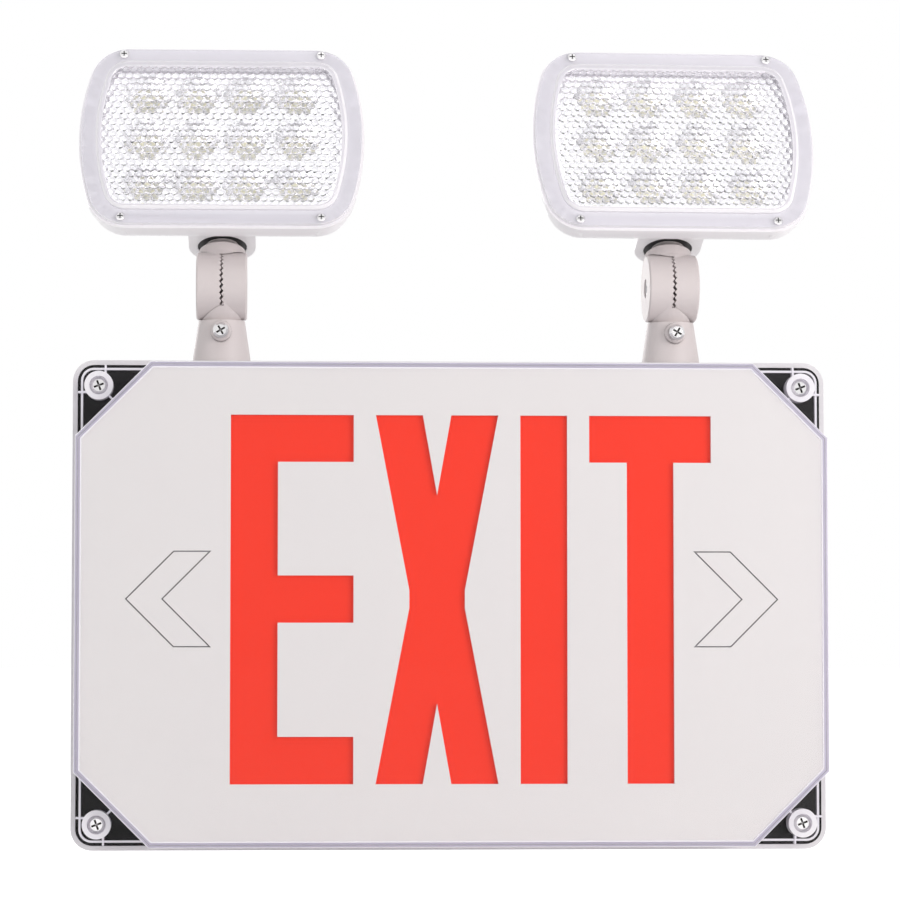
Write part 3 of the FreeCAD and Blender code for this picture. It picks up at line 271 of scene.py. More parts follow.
# %% Slow colour drift
drift, nodes, links, given, result = effect_group(
    "colour_drift",
    [("Colour", "colour", (0.8, 0.8, 0.8, 1)), ("Other", "colour", (0.75, 0.75, 0.75, 1)),
     ("Per metre", "number", 25.0)],
    [("Colour", "colour")])
cloud = nodes.new("ShaderNodeTexNoise")
cloud.inputs["Detail"].default_value = 2.0
blend = colour_blend(nodes)
links.new(metres(nodes), cloud.inputs["Vector"])
links.new(given.outputs["Per metre"], cloud.inputs["Scale"])
links.new(cloud.outputs["Fac"], blend.inputs["Factor"])
links.new(given.outputs["Colour"], blend.inputs["A"])
links.new(given.outputs["Other"], blend.inputs["B"])
links.new(blend.outputs["Result"], result.inputs["Colour"])
print("group:", drift.name)

# %% [markdown]
# A recess gets little light, so it looks darker than the face around it, and here that shade
# is painted into the colour. Ambient occlusion measures how open a point is: the share of short
# rays from it that don't meet the same part again. The group turns that into a mask from 0 on
# open faces to 1 in tight places, and blends to the second colour, the painted shade, by it.

# %% Painted shade in crevices
crevice, nodes, links, given, result = effect_group(
    "painted_crevice_shade",
    [("Colour", "colour", (0.8, 0.8, 0.8, 1)), ("In crevices", "colour", (0.1, 0.1, 0.1, 1)),
     ("Reach", "number", 0.001), ("Open", "number", 0.85), ("Closed", "number", 0.45)],
    [("Colour", "colour")])
reached = nodes.new("ShaderNodeAmbientOcclusion")
reached.samples = 6
reached.only_local = True
links.new(given.outputs["Reach"], reached.inputs["Distance"])
mask = nodes.new("ShaderNodeMapRange")
links.new(reached.outputs["AO"], mask.inputs["Value"])
links.new(given.outputs["Open"], mask.inputs["From Min"])
links.new(given.outputs["Closed"], mask.inputs["From Max"])
blend = colour_blend(nodes)
links.new(mask.outputs["Result"], blend.inputs["Factor"])
links.new(given.outputs["Colour"], blend.inputs["A"])
links.new(given.outputs["In crevices"], blend.inputs["B"])
links.new(blend.outputs["Result"], result.inputs["Colour"])
print("group:", crevice.name)

# %% [markdown]
# ## Finishes
# Each finish is a Principled shader fed by the shared effects. A small helper makes the
# shader and wires grain and drift to it, because all the opaque plastics differ only in
# colour, shine and how coarse their grain is.

# %% Opaque plastic helper
def base_material(name):
    """A new material with its shader, nodes and links."""
    material = bpy.data.materials.new(name)
    material.use_nodes = True
    nodes = material.node_tree.nodes
    return material, nodes["Principled BSDF"], nodes, material.node_tree.links


def placed_group(nodes, group, **values):
    """One use of an effect group, with its sockets set by name."""
    node = nodes.new("ShaderNodeGroup")
    node.node_tree = group
    for label, value in values.items():
        node.inputs[label.replace("_", " ")].default_value = value
    return node


def plastic(name, colour, other=None, shine=0.4, spread=0.06, per_metre=900.0, depth=0.12):
    """Opaque moulded plastic: drifting colour, fine grain, uneven shine."""
    material, shader, nodes, links = base_material(name)
    other = other or tuple(c * 0.97 for c in colour)
    tone = placed_group(nodes, drift, Colour=(*colour, 1), Other=(*other, 1))
    surface = placed_group(nodes, grain, Per_metre=per_metre, Depth=depth, Shine=shine,
                           Shine_spread=spread)
    links.new(tone.outputs["Colour"], shader.inputs["Base Color"])
    links.new(surface.outputs["Normal"], shader.inputs["Normal"])
    links.new(surface.outputs["Roughness"], shader.inputs["Roughness"])
    return material


def paint_crevice_shade(material, colour, reach, open_at=0.85, closed_at=0.45):
    """Puts painted crevice shade between a material's colour and its shader."""
    nodes, links = material.node_tree.nodes, material.node_tree.links
    base = nodes["Principled BSDF"].inputs["Base Color"]
    shade = placed_group(nodes, crevice, In_crevices=(*colour, 1), Reach=reach, Open=open_at,
                         Closed=closed_at)
    links.new(base.links[0].from_socket, shade.inputs["Colour"])
    links.new(shade.outputs["Colour"], base)


def dress(material, *names):
    """Puts a material in every slot of the named solids."""
    for name in names:
        for slot in frame["nodes"][name].material_slots:
            slot.material = material


SIDES = ("left_", "right_")


def both(*names):
    """The named solids of the left arm, then of the right one."""
    return [side + name for side in SIDES for name in names]


box_grey = plastic("box_grey_plastic", (0.74, 0.725, 0.745), shine=0.42)
dress(box_grey, "back_box")
arm_grey = plastic("arm_grey_plastic", (0.66, 0.605, 0.60), shine=0.46, depth=0.2, per_metre=1400.0)
dress(arm_grey, *both("arm_foot", "lower_knuckle", "upper_knuckle"))
head_white = plastic("head_white_plastic", (0.90, 0.885, 0.90), shine=0.34)
dress(head_white, *both("lamp_housing"))
# Painted shade in the knuckles' serration gaps and the seams between the arm pieces.
paint_crevice_shade(arm_grey, (0.10, 0.085, 0.085), reach=0.0012)
print("plastics:", box_grey.name, arm_grey.name, head_white.name)

# %% Panel, letters and inner plastics
legend_white = plastic("panel_white", (0.805, 0.785, 0.765), (0.79, 0.77, 0.755), shine=0.5,
                       per_metre=600.0, depth=0.05)
# Painted shade in the score grooves and along the letters' cut walls.
paint_crevice_shade(legend_white, (0.14, 0.13, 0.14), reach=0.0009)
dress(legend_white, "legend_tray")
legend_red = plastic("letter_red", (0.97, 0.036, 0.010), (0.96, 0.031, 0.009), shine=0.45,
                     depth=0.04)
legend_red.node_tree.nodes["Principled BSDF"].inputs["Specular IOR Level"].default_value = 0.15
dress(legend_red, "red_diffuser")
inner_white = plastic("inner_white", (0.82, 0.82, 0.80), shine=0.5)
dress(inner_white, "diode_plate")
button_dark = plastic("button_dark", (0.035, 0.035, 0.04), shine=0.35)
dress(button_dark, "test_button", "button_bezel")
switch_black = plastic("switch_black", (0.02, 0.02, 0.022), shine=0.4)
dress(switch_black, "test_switch")
print("panel and letters dressed")

# %% Rubber and foam
gasket_black = plastic("black_rubber", (0.012, 0.011, 0.012), (0.02, 0.018, 0.02), shine=0.55,
                       per_metre=700.0, depth=0.3)
dress(gasket_black, "cover_gasket", "wire_grommet", *both("foot_seal", "collar_seal"))
gasket_pale = plastic("pale_foam", (0.80, 0.78, 0.84), shine=0.7, depth=0.4, per_metre=1200.0)
dress(gasket_pale, *both("lamp_gasket"))
print("gaskets dressed")

# %% [markdown]
# ### Clear plastics
# The front cover and the lamp lenses are polycarbonate. Seen square on, the face is almost
# invisible, so its mirror is kept weak. Shadow rays and the rays that gather the room's light
# pass straight through, so what lies behind is lit as if it stood in the open.

# %% Clear plastic helpers
def let_light_pass(material, tint):
    """Shadow rays and the rays that gather light from all round go straight through."""
    nodes, links = material.node_tree.nodes, material.node_tree.links
    path = nodes.new("ShaderNodeLightPath")
    either = sum_node(nodes, "MAXIMUM")
    passing = nodes.new("ShaderNodeBsdfTransparent")
    passing.inputs["Color"].default_value = (*tint, 1)
    mix = nodes.new("ShaderNodeMixShader")
    links.new(path.outputs["Is Shadow Ray"], either.inputs[0])
    links.new(path.outputs["Is Diffuse Ray"], either.inputs[1])
    links.new(either.outputs[0], mix.inputs["Fac"])
    links.new(nodes["Principled BSDF"].outputs[0], mix.inputs[1])
    links.new(passing.outputs[0], mix.inputs[2])
    links.new(mix.outputs[0], nodes["Material Output"].inputs["Surface"])
    return material


def clear_plastic(name, tint, roughness, mirror):
    """Refracting plastic that casts no hard shadow. The mirror is the share of its reflection
    that is kept."""
    material, shader, nodes, links = base_material(name)
    surface = placed_group(nodes, grain, Per_metre=300.0, Depth=0.02, Shine=roughness,
                           Shine_spread=0.02)
    links.new(surface.outputs["Roughness"], shader.inputs["Roughness"])
    shader.inputs["Base Color"].default_value = (*tint, 1)
    shader.inputs["Transmission Weight"].default_value = 1.0
    shader.inputs["IOR"].default_value = 1.55
    shader.inputs["Specular Tint"].default_value = (mirror, mirror, mirror, 1)
    return let_light_pass(material, (0.94, 0.94, 0.95))


def hazy_plastic(name, colour, other, clearness, roughness):
    """Clear plastic seen through its depth or over a moulding's edge: part haze, part clear."""
    material = plastic(name, colour, other, shine=roughness, spread=0.08, per_metre=350.0,
                       depth=0.05)
    shader = material.node_tree.nodes["Principled BSDF"]
    shader.inputs["Transmission Weight"].default_value = clearness
    shader.inputs["IOR"].default_value = 1.5
    return let_light_pass(material, (0.90, 0.89, 0.92))


clear_face = clear_plastic("clear_cover_plastic", (0.985, 0.98, 0.985), 0.03, 0.25)
violet_wall = hazy_plastic("violet_wall_plastic", (0.67, 0.63, 0.77), (0.57, 0.53, 0.68), 0.35, 0.3)
pale_wall = hazy_plastic("pale_wall_plastic", (0.84, 0.82, 0.90), (0.80, 0.78, 0.87), 0.6, 0.2)
# A painted highlight: whiter, hazier plastic for the bright lines that the clear plastic's edges
# catch.
painted_glint = hazy_plastic("painted_glint_plastic", (0.93, 0.92, 0.96), (0.88, 0.86, 0.93), 0.12, 0.2)
# The cover's clear screw pillars get a painted highlight, a whiter hazy plastic, with painted shade
# in the rings round the screw.
pale_post = hazy_plastic("pale_post_plastic", (0.98, 0.97, 0.99), (0.90, 0.88, 0.94), 0.12, 0.25)
paint_crevice_shade(pale_post, (0.22, 0.20, 0.24), reach=0.0012, open_at=0.6, closed_at=0.2)
lens_clear = clear_plastic("clear_lens_plastic", (0.975, 0.97, 0.985), 0.03, 0.5)
# Painted highlight: a whiter hazy plastic on the lens's side-on edges and flat back, where the
# head's inside would leave shade.
lens_edge = hazy_plastic("lens_edge_plastic", (0.95, 0.94, 0.96), (0.91, 0.90, 0.93), 0.2, 0.2)
lens_flange = hazy_plastic("lens_flange_plastic", (0.80, 0.79, 0.84), (0.74, 0.73, 0.785),
                           0.4, 0.15)
print("clear plastics:", clear_face.name, violet_wall.name, pale_wall.name, painted_glint.name,
      pale_post.name, lens_clear.name, lens_edge.name, lens_flange.name)

# %% [markdown]
# ### The clear cover
# On the real cover the walls look pale violet, because there one looks along the plastic
# instead of through it, and each rounded or inner corner shows as a bright line. A path
# tracer could find this by following light inside the wall, but only slowly and with noise.
# So the cover's shape is copied from the workshop model, its front is cut along lines that run
# inside the eight-sided outline, and each strip gets the finish it shows. The bright lines are
# painted highlights: a whiter, hazier plastic on those strips and on the pillars, lips and ribs.

# %% A copy with shared corners
MERGE_STEP = 2e-6               # corners that round to the same step are one


def merged_triangles(name):
    """Corners and triangles of a solid. Equal corners are merged, and triangles with two equal
    corners are left out."""
    mesh = frame["nodes"][name].data
    mesh.calc_loop_triangles()
    corners = np.empty(len(mesh.vertices) * 3)
    mesh.vertices.foreach_get("co", corners)
    triangles = np.empty(len(mesh.loop_triangles) * 3, dtype=np.int64)
    mesh.loop_triangles.foreach_get("vertices", triangles)
    keys = np.round(corners.reshape(-1, 3) / MERGE_STEP).astype(np.int64)
    _, first, place = np.unique(keys, axis=0, return_index=True, return_inverse=True)
    triangles = place.reshape(-1)[triangles].reshape(-1, 3)
    whole = ((triangles[:, 0] != triangles[:, 1]) & (triangles[:, 1] != triangles[:, 2])
             & (triangles[:, 2] != triangles[:, 0]))
    return corners.reshape(-1, 3)[first], triangles[whole]


def new_piece(name, mesh, body, sharp=30.0):
    """A smooth-shaded piece with sharp edges where faces meet at more than the given angle."""
    mesh.polygons.foreach_set("use_smooth", np.ones(len(mesh.polygons), dtype=bool))
    mesh.set_sharp_from_angle(angle=math.radians(sharp))
    piece = bpy.data.objects.new(name, mesh)
    bpy.context.scene.collection.objects.link(piece)
    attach(piece, body)
    return piece


corners, triangles = merged_triangles("front_cover")
shape = bpy.data.meshes.new("clear_cover")
shape.from_pydata(corners.tolist(), [], triangles.tolist())
cover = new_piece("clear_cover", shape, "sign")
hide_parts("front_cover")
print("cover:", len(corners), "corners", len(triangles), "triangles")

# %% [markdown]
# The outline is an octagon: a rectangle with its corners cut off. For any point, the greatest
# of three numbers, its overshoot past the side, past the top and past the slanted corner, is
# its distance outside the outline, and minus that number is how far inside it lies.

# %% Cut the cover's front along its walls
COVER_LOW, COVER_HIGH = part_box("front_cover")
HALF_W, HALF_H = (COVER_HIGH[0] - COVER_LOW[0]) / 2, (COVER_HIGH[2] - COVER_LOW[2]) / 2
COVER_FRONT = COVER_LOW[1]
CUT_CORNER = 0.031                      # leg of each cut-off corner
FLANGE_THICK = 0.003
FLANGE_FRONT = COVER_HIGH[1] - FLANGE_THICK
SLANT = (HALF_W + HALF_H - CUT_CORNER) / math.sqrt(2)
STRIPS = (0.0004, 0.0022, 0.0027)       # bright edge, violet wall, bright inner corner
WALL_LINE = (0.0011, 0.0014)            # paler line within the wall
ON_FRONT = 1e-5                         # depth within which a corner lies on the front
SAME_PLACE = 1e-7                       # a cut this near to a corner goes through it


def outside(points):
    """Distance outside the eight-sided outline, negative inside it: the greatest of three."""
    x, z = np.abs(points[:, 0]), np.abs(points[:, 2])
    return np.maximum(np.maximum(x - HALF_W, z - HALF_H), (x + z) / math.sqrt(2) - SLANT)


def cut_front(mesh, insets):
    """Cuts the flat front along lines beside each of the eight sides."""
    shape = bmesh.new()
    shape.from_mesh(mesh)
    sides = [((sx, 0, 0), HALF_W) for sx in (-1, 1)] + [((0, 0, sz), HALF_H) for sz in (-1, 1)]
    half = math.sqrt(0.5)
    sides += [((sx * half, 0, sz * half), SLANT) for sx in (-1, 1) for sz in (-1, 1)]
    for normal, reach in sides:
        for inset in insets:
            front = [f for f in shape.faces
                     if max(v.co.y for v in f.verts) < COVER_FRONT + ON_FRONT]
            edges = {e for f in front for e in f.edges}
            points = {v for f in front for v in f.verts}
            bmesh.ops.bisect_plane(shape, geom=[*front, *edges, *points], dist=SAME_PLACE,
                                   plane_co=Vector(normal) * (reach - inset), plane_no=normal)
    shape.to_mesh(mesh)
    shape.free()


cut_front(cover.data, STRIPS + WALL_LINE)
print("cut front:", len(cover.data.polygons), "faces")

# %% A finish for each part of the cover
CLEAR, VIOLET, BRIGHT, POST, PALE = range(5)
FRONT_ROUND = 0.0012            # depth of the rounded front edge
SIDE_ON = 0.3                   # a face is a wall where its normal's Y is smaller than this
SQUARE_ON = 0.9                 # and looks forwards where it is greater than this
OUTLINE_SLACK, FLANGE_SLACK, PILLAR_SLACK = 2e-4, 2e-4, 1e-4
POST_INSET = 0.009              # screw pillars, from the flange's two edges
POST_REACH = 0.0062             # radius round a pillar's middle that is finished as one


def face_centres(mesh):
    """Middles and normals of a mesh's faces, as two arrays."""
    middle = np.empty(len(mesh.polygons) * 3)
    mesh.polygons.foreach_get("center", middle)
    normal = np.empty(len(mesh.polygons) * 3)
    mesh.polygons.foreach_get("normal", normal)
    return middle.reshape(-1, 3), normal.reshape(-1, 3)


middle, normal = face_centres(cover.data)
inside = -outside(middle)
sideways = np.abs(normal[:, 1]) < SIDE_ON
front = middle[:, 1] < COVER_FRONT + FRONT_ROUND
raised = (inside > -OUTLINE_SLACK) & (middle[:, 1] < FLANGE_FRONT - FLANGE_SLACK)
corner_posts = (inside < -OUTLINE_SLACK) & (middle[:, 1] < FLANGE_FRONT - PILLAR_SLACK)
post_x, post_z = HALF_W - POST_INSET, HALF_H - POST_INSET
from_post = np.hypot(np.abs(middle[:, 0]) - post_x, np.abs(middle[:, 2]) - post_z)
finish = np.full(len(middle), CLEAR, dtype=np.int32)
finish[raised & sideways] = PALE
finish[front & (inside < STRIPS[1])] = VIOLET
finish[front & (inside > WALL_LINE[0]) & (inside < WALL_LINE[1])] = PALE
# Painted highlights: the outer edge strip, the inner corner strip and the corner posts take the
# glint finish.
finish[front & (inside < STRIPS[0])] = BRIGHT
inner_corner = (inside > STRIPS[1]) & (inside < STRIPS[2]) & (normal[:, 1] < -SQUARE_ON)
finish[front & inner_corner] = BRIGHT
finish[corner_posts] = BRIGHT
finish[corner_posts & (from_post < POST_REACH)] = POST
for material in (clear_face, violet_wall, painted_glint, pale_post, pale_wall):
    cover.data.materials.append(material)
cover.data.polygons.foreach_set("material_index", finish)
print("faces by finish:", np.bincount(finish).tolist())

# %% [markdown]
# In each corner pocket two low ribs run from the screw's pillar over the lip to the flange's
# edge. Their outer ends are too small for the workshop model. A rib is an arched profile
# carried along a straight path: two upright sides with half a circle over them.

# %% Outer ends of the corner ribs
RIB_THICK, RIB_HIGH = 0.0009, 0.0034
RIB_OFF = 0.0026                        # from the pillar's middle to the rib's middle
RIB_FROM, RIB_TO = 0.0020, 0.0002       # distances inside the flange's edge
ARCH_POINTS = 7


def rib_ends():
    """Eight arched prisms. The arch is half the thickness times cosine and sine of an angle
    that runs over half a turn, above two corners on the flange. One end of the path is at the
    lip, the other at the edge. The four corners are sign changes of one."""
    turn = np.linspace(0, math.pi, ARCH_POINTS)
    half = RIB_THICK / 2
    u = np.concatenate([[half], half * np.cos(turn), [-half]])
    v = np.concatenate([[0], RIB_HIGH - half + half * np.sin(turn), [0]])
    n = len(u)
    along = np.repeat([HALF_W - RIB_FROM, HALF_W - RIB_TO], n)
    out_x = np.stack([along, np.tile(FLANGE_FRONT - v, 2), np.tile(post_z - RIB_OFF + u, 2)], 1)
    along = np.repeat([HALF_H - RIB_FROM, HALF_H - RIB_TO], n)
    out_z = np.stack([np.tile(post_x - RIB_OFF + u, 2), np.tile(FLANGE_FRONT - v, 2), along], 1)
    signs = np.array([(sx, 1, sz) for sx in (-1, 1) for sz in (-1, 1)])
    points = (np.stack([out_x, out_z])[:, None] * signs[None, :, None]).reshape(-1, 3)
    k = np.arange(n)
    sides = np.stack([k, np.roll(k, -1), np.roll(k, -1) + n, k + n], 1)
    prism = [*sides.tolist(), k[::-1].tolist(), (k + n).tolist()]
    starts = range(0, len(points), 2 * n)
    faces = [[c + start for c in face] for start in starts for face in prism]
    return points, faces


points, faces = rib_ends()
shape = bpy.data.meshes.new("rib_ends")
shape.from_pydata(points.tolist(), [], faces)
turning = bmesh.new()
turning.from_mesh(shape)
bmesh.ops.recalc_face_normals(turning, faces=turning.faces)
turning.to_mesh(shape)
turning.free()
ribs = new_piece("rib_ends", shape, "sign")
# The rib ends take the cover's painted highlight finish.
ribs.data.materials.append(painted_glint)
print("rib ends:", len(faces), "faces")

# %% [markdown]
# ### Beaded lamp lenses
# The inside of each lens is moulded with rows of small round beads that spread the beam, and
# they give the window its sparkle. The rim, the window's step and the screw holes are taken
# from the workshop model, its flat inner face is left out, and a beaded surface takes its
# place. That surface is a function of two parameters: s runs across the window and w up it.

# %% A lamp head's own directions
def head_frame(side):
    """The tilt joint's place, and the head's directions across, inwards and up as rows. The
    lens's flat front gives the direction it looks in."""
    corners, triangles = merged_triangles(side + "lamp_lens")
    a, b, c = (corners[triangles[:, i]] for i in range(3))
    normal = np.cross(b - a, c - a)
    size = np.linalg.norm(normal, axis=1)
    unit = normal / size[:, None]
    out = unit[np.argmax(size * (unit[:, 1] < 0))]
    across = np.cross((0.0, 0.0, 1.0), out)
    across /= np.linalg.norm(across)
    joint = next(j for j in frame["joints"] if j["name"] == side + "tilt")
    return np.array(joint["pos_m"]), np.array([across, -out, np.cross(out, across)])


for side in SIDES:
    place, axes = head_frame(side)
    lean = math.degrees(math.asin(axes[2][1]))
    print(side, "head: pivot", place.round(4).tolist(), "leans back", round(lean, 2), "degrees")

# %% The head's outline
HEAD_UP = 0.0543                # middle of the head over the tilt axis
WINDOW_BACK = -0.0352           # inner face of the window, in the head's inward direction
FLANGE_DEPTH = -0.0350          # front of the lens's flange
HOLLOW_INSET = 0.0092           # edge of that face inside the head's outline
HEAD_HALF_W, HEAD_HALF_H, HEAD_CORNER, HEAD_BOW = 0.06075, 0.0431, 0.017, 0.109


def half_width(z, inset):
    """Half the head's width at height z. The side is an arc of radius bow: its centre plus the
    square root of (bow squared less z squared). Above the height where the arcs touch, the
    corner's arc takes over, by the same formula from its own centre."""
    a, b = HEAD_HALF_W - inset, HEAD_HALF_H - inset
    r, bow = HEAD_CORNER - inset, HEAD_BOW - inset
    bow_x = a - bow
    corner_x = bow_x + np.sqrt((bow - r) ** 2 - (b - r) ** 2)
    touch = bow * np.sin(np.arctan2(b - r, corner_x - bow_x))
    rise = np.abs(z)
    side = bow_x + np.sqrt(np.maximum(bow ** 2 - rise ** 2, 0))
    corner = corner_x + np.sqrt(np.maximum(r ** 2 - (rise - (b - r)) ** 2, 0))
    return np.where(rise <= touch, side, corner)


print("half width at the middle:", round(float(half_width(np.zeros(1), 0)[0]), 5))

# %% Beads on a grid
BEAD_ACROSS, BEAD_UP, BEAD_DEEP = 0.0033, 0.0028, 0.0006
BEAD_TOP = 0.6                  # share of a bead's depth that stands over the window's back
FADE = 0.001                    # width of the border where the beads fade out
EVEN_ROWS = 0.65                # share of the row spacing that is even
GRID_ACROSS, GRID_UP = 230, 190
PLAIN_STRIP = 0.0004            # plain strip between the beads and the hollow's edge


def wrapped(value, pitch):
    """Distance to the nearest whole multiple of the pitch, with its sign."""
    return (value + pitch / 2) % pitch - pitch / 2


def bead_height(x, z):
    """Round beads in rows, each second row half a bead along. The height falls with the square
    of the distance to the nearest bead's middle."""
    even = wrapped(x, BEAD_ACROSS) ** 2 + wrapped(z, 2 * BEAD_UP) ** 2
    odd = wrapped(x - BEAD_ACROSS / 2, BEAD_ACROSS) ** 2 + wrapped(z - BEAD_UP, 2 * BEAD_UP) ** 2
    return BEAD_DEEP * (BEAD_TOP - np.minimum(even, odd) / (BEAD_ACROSS / 2) ** 2)


def beaded_window(across, rows, inset):
    """Grid over s and w from -1 to 1: z is w times half the height, x is s times half the width
    at that z, and the depth is the window's back plus the beads, which fade out at the border.
    Rows lie closer near the top and the bottom, where the outline turns quickly."""
    s, w = np.meshgrid(np.linspace(-1, 1, across), np.linspace(-1, 1, rows))
    z = EVEN_ROWS * w + (1 - EVEN_ROWS) * np.sin(w * math.pi / 2)
    z = z * (HEAD_HALF_H - inset)
    wide = half_width(z, inset)
    x = s * wide
    to_border = np.minimum(wide - np.abs(x), HEAD_HALF_H - inset - np.abs(z))
    y = WINDOW_BACK + bead_height(x, z) * np.clip(to_border / FADE, 0, 1)
    k = np.arange(across * rows).reshape(rows, across)
    faces = np.stack([k[:-1, :-1], k[1:, :-1], k[1:, 1:], k[:-1, 1:]], axis=-1).reshape(-1, 4)
    border = np.concatenate([k[0], k[1:, -1], k[-1, :-1], k[1:-1, 0]])
    return np.stack([x, y, z + HEAD_UP], axis=-1).reshape(-1, 3), faces, border


grid, grid_faces, grid_border = beaded_window(GRID_ACROSS, GRID_UP, HOLLOW_INSET + PLAIN_STRIP)
print("beaded window:", len(grid_faces), "faces, border of", len(grid_border), "corners")

# %% [markdown]
# The border of the beaded grid and the edge of the moulded hollow are two loops, one inside
# the other. To close the strip between them, both are put in order of their angle round the
# window's middle. Each step along one loop makes a triangle with the corner that the other
# loop has reached at that angle.

# %% Close the strip between two loops
ON_BACK = 2e-5                  # depth within which a corner lies on the window's back
FLAT_ON = 0.99                  # a face lies square to the head's direction past this
TURNED_IN = 0.3                 # and is one of the beads or of the inner face past this
FLANGE_FROM = 5e-5              # slack in front of the flange


def strip_between(points, inner, outer):
    """Triangles between two loops of corner numbers, ordered by angle round the window's
    middle."""
    def by_angle(loop):
        angle = np.arctan2(points[loop, 2] - HEAD_UP, points[loop, 0])
        order = np.argsort(angle)
        return loop[order], angle[order]
    inner, at_inner = by_angle(inner)
    outer, at_outer = by_angle(outer)
    reached = np.searchsorted(at_outer, np.roll(at_inner, -1), side="right") - 1
    passed = np.searchsorted(at_inner, np.roll(at_outer, -1), side="left") - 1
    return np.concatenate([np.stack([inner, np.roll(inner, -1), outer[reached]], axis=1),
                           np.stack([outer, inner[passed], np.roll(outer, -1)], axis=1)])


def facing_in(points, faces):
    """The same faces, each turned so that it faces inwards, along the second direction."""
    a, b, c = (points[faces[:, i]] for i in range(3))
    turned = np.cross(b - a, c - a)[:, 1] < 0
    return np.where(turned[:, None], faces[:, ::-1], faces)


def beaded_lens(side):
    """A lens of the workshop model with its flat window back changed for the beaded grid. Its
    faces are clear, apart from the flange's front, the plain strip round the beads, the flat
    back that lies on the gasket and every edge that is seen side on. The strip, the flat back
    and the side-on edges take a whiter hazy finish, a painted highlight that also paints out the
    shade of the head's inside."""
    place, axes = head_frame(side)
    corners, triangles = merged_triangles(side + "lamp_lens")
    corners = (corners - place) @ axes.T
    flat = (np.abs(corners[:, 1] - WINDOW_BACK) < ON_BACK)[triangles].all(axis=1)
    hollow_edge = np.unique(triangles[flat])
    points = np.concatenate([corners, grid])
    border = grid_border + len(corners)
    strip = facing_in(points, strip_between(points, border, hollow_edge))
    beads = facing_in(points, grid_faces + len(corners))
    faces = [*triangles[~flat].tolist(), *strip.tolist(), *beads.tolist()]
    mesh = bpy.data.meshes.new(side + "beaded_lens")
    mesh.from_pydata((place + points @ axes).tolist(), [], faces)
    middle, normal = face_centres(mesh)
    depth, facing = (middle - place) @ axes[1], normal @ axes[1]
    edge = (facing > -FLAT_ON) & (facing < TURNED_IN)
    strip_start = np.count_nonzero(~flat)
    edge[:strip_start] |= facing[:strip_start] > FLAT_ON
    edge[strip_start:strip_start + len(strip)] = True
    flange = (facing < -FLAT_ON) & (depth > FLANGE_DEPTH - FLANGE_FROM)
    mesh.polygons.foreach_set("material_index", (edge + 2 * flange).astype(np.int32))
    return mesh


for side in SIDES:
    lens = new_piece(side + "beaded_lens", beaded_lens(side), side + "head")
    for material in (lens_clear, lens_edge, lens_flange):
        lens.data.materials.append(material)
    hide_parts(side + "lamp_lens")
    print(lens.name, len(lens.data.polygons), "faces")

# %% [markdown]
# ### Lamp housings
# Each housing is one white moulding. The posts for the lens screws stand in its walls, and on
# the outside the wall runs smoothly over them. The copy below is the workshop housing with
# every corner behind the rim that lies outside the wall moved back into it.

# %% Smooth housings
WALL_INSET = 0.0018             # the wall stands back from the rim's edge
BACK_ROUND = 0.0070             # radius of the round edge between the wall and the back
ROUND_FROM = -0.0233            # depth where that edge begins
RIM_BACK = -0.0292              # depth of the rim's back
POST_END = -0.0212              # depth where the screw posts end
DEPTH_SLACK = 1e-4
KEEP_OUT = 1e-6                 # slack that leaves corners on the wall where they are
LEAST_AREA = 1e-13              # twice the area of a triangle that is kept


def smooth_housing(side):
    """The workshop housing. From the rim to the posts' ends, corners are kept within the wall,
    whose inset grows along a quarter circle: radius less the square root of (radius squared
    less the depth past its start squared)."""
    place, axes = head_frame(side)
    corners, triangles = merged_triangles(side + "lamp_housing")
    corners = (corners - place) @ axes.T
    depth = corners[:, 1]
    behind = (depth > RIM_BACK + DEPTH_SLACK) & (depth < POST_END + DEPTH_SLACK)
    into_round = np.clip(depth - ROUND_FROM, 0, POST_END - ROUND_FROM)
    inset = WALL_INSET + BACK_ROUND - np.sqrt(BACK_ROUND ** 2 - into_round ** 2)
    rise = np.clip(corners[:, 2] - HEAD_UP, inset - HEAD_HALF_H, HEAD_HALF_H - inset)
    wide = half_width(rise, inset) + KEEP_OUT
    corners[:, 0] = np.where(behind, np.clip(corners[:, 0], -wide, wide), corners[:, 0])
    corners[:, 2] = np.where(behind, rise + HEAD_UP, corners[:, 2])
    a, b, c = (corners[triangles[:, i]] for i in range(3))
    real = np.linalg.norm(np.cross(b - a, c - a), axis=1) > LEAST_AREA
    mesh = bpy.data.meshes.new(side + "smooth_housing")
    mesh.from_pydata((place + corners @ axes).tolist(), [], triangles[real].tolist())
    return mesh


for side in SIDES:
    housing = new_piece(side + "smooth_housing", smooth_housing(side), side + "head")
    housing.data.materials.append(head_white)
    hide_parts(side + "lamp_housing")
    print(housing.name, len(housing.data.polygons), "faces")

# %% [markdown]
# ### Metals
# Screws are nickel plated and bolts zinc plated. Both are mirrors with a soft haze; a fine
# noise in the roughness keeps them from looking like chrome drawn by a computer.

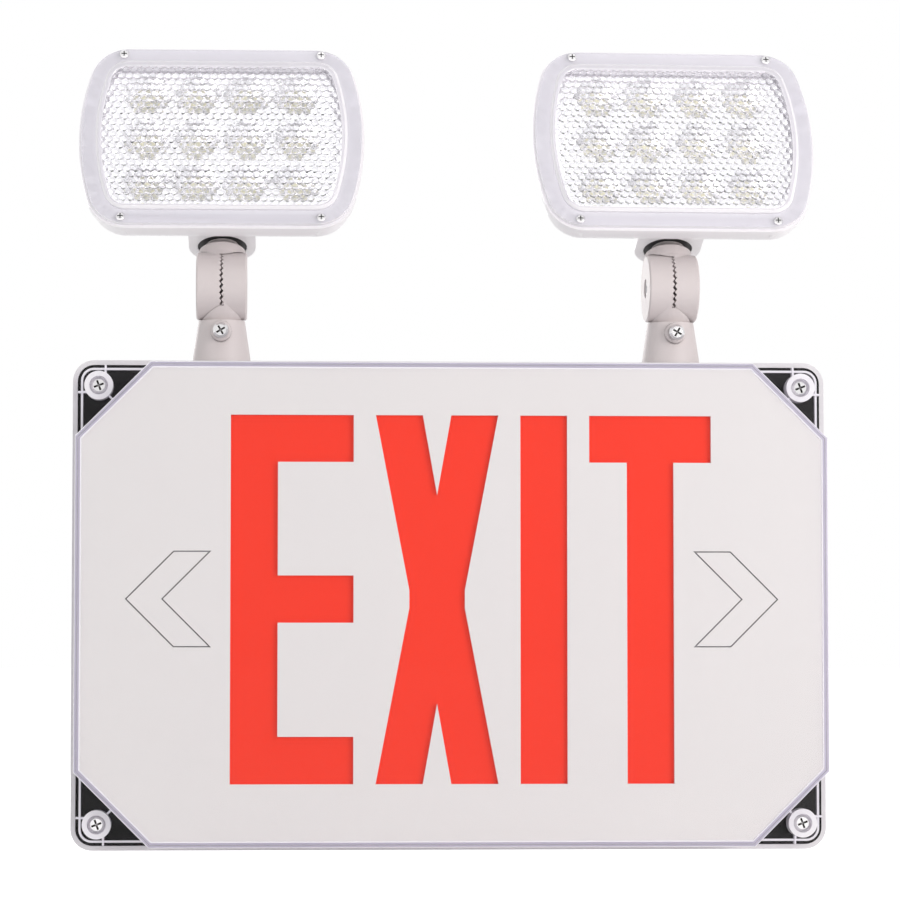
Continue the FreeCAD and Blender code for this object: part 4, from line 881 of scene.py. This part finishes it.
# %% Plated metals
def plated(name, colour, shine, spread, depth=0.05, per_metre=2500.0):
    """Plated metal: the plastic's grain and drift on a shader that is all metal."""
    worn = tuple(c * 0.92 for c in colour)
    material = plastic(name, colour, worn, shine, spread, per_metre, depth)
    material.node_tree.nodes["Principled BSDF"].inputs["Metallic"].default_value = 1.0
    return material


bright_screw = plated("bright_nickel", (0.80, 0.79, 0.80), 0.2, 0.12)
# Painted shade in the screws' cross recesses and round their heads.
paint_crevice_shade(bright_screw, (0.03, 0.025, 0.025), reach=0.0014, open_at=0.9, closed_at=0.62)
dress(bright_screw, "cover_screws", *both("clamp_screw", "lens_screws"))
zinc = plated("zinc_plate", (0.70, 0.71, 0.73), 0.32, 0.2)
dress(zinc, "plate_screws", "board_screws", "strap_screws", "battery_strap",
      *both("knuckle_bolt", "knuckle_nut", "stem_nut", "foot_locknut"))
bright_cup = plated("bright_reflector", (0.95, 0.95, 0.96), 0.20, 0.05, depth=0.08, per_metre=500.0)
dress(bright_cup, *both("reflector"))
print("metals dressed")

# %% Boards and electrical pieces
board_white = plastic("white_board", (0.93, 0.93, 0.92), shine=0.3)
dress(board_white, "diode_strips", *both("led_board"))
board_green = plastic("green_board", (0.02, 0.16, 0.06), (0.03, 0.22, 0.08), shine=0.25,
                      per_metre=1500.0)
dress(board_green, "charger_board")
core_steel = plated("core_steel", (0.32, 0.31, 0.30), 0.45, 0.2)
dress(core_steel, "transformer")
can_dark = plastic("capacitor_sleeve", (0.02, 0.03, 0.07), shine=0.25)
dress(can_dark, "capacitors")
terminal_green = plastic("terminal_green", (0.03, 0.28, 0.10), shine=0.4)
dress(terminal_green, "terminal_block")
sleeve_blue = plastic("battery_sleeve", (0.03, 0.08, 0.30), shine=0.2)
dress(sleeve_blue, "battery_pack")
lamp_green = plastic("lamp_green", (0.04, 0.45, 0.10), shine=0.15)
dress(lamp_green, "status_lamp")
diode_red = plastic("diode_red", (0.70, 0.06, 0.04), shine=0.2)
dress(diode_red, "sign_diodes")
led_yellow = plastic("lamp_diode", (0.84, 0.82, 0.60), (0.87, 0.85, 0.66), shine=0.3)
dress(led_yellow, *both("lamp_leds"))
print("boards dressed")
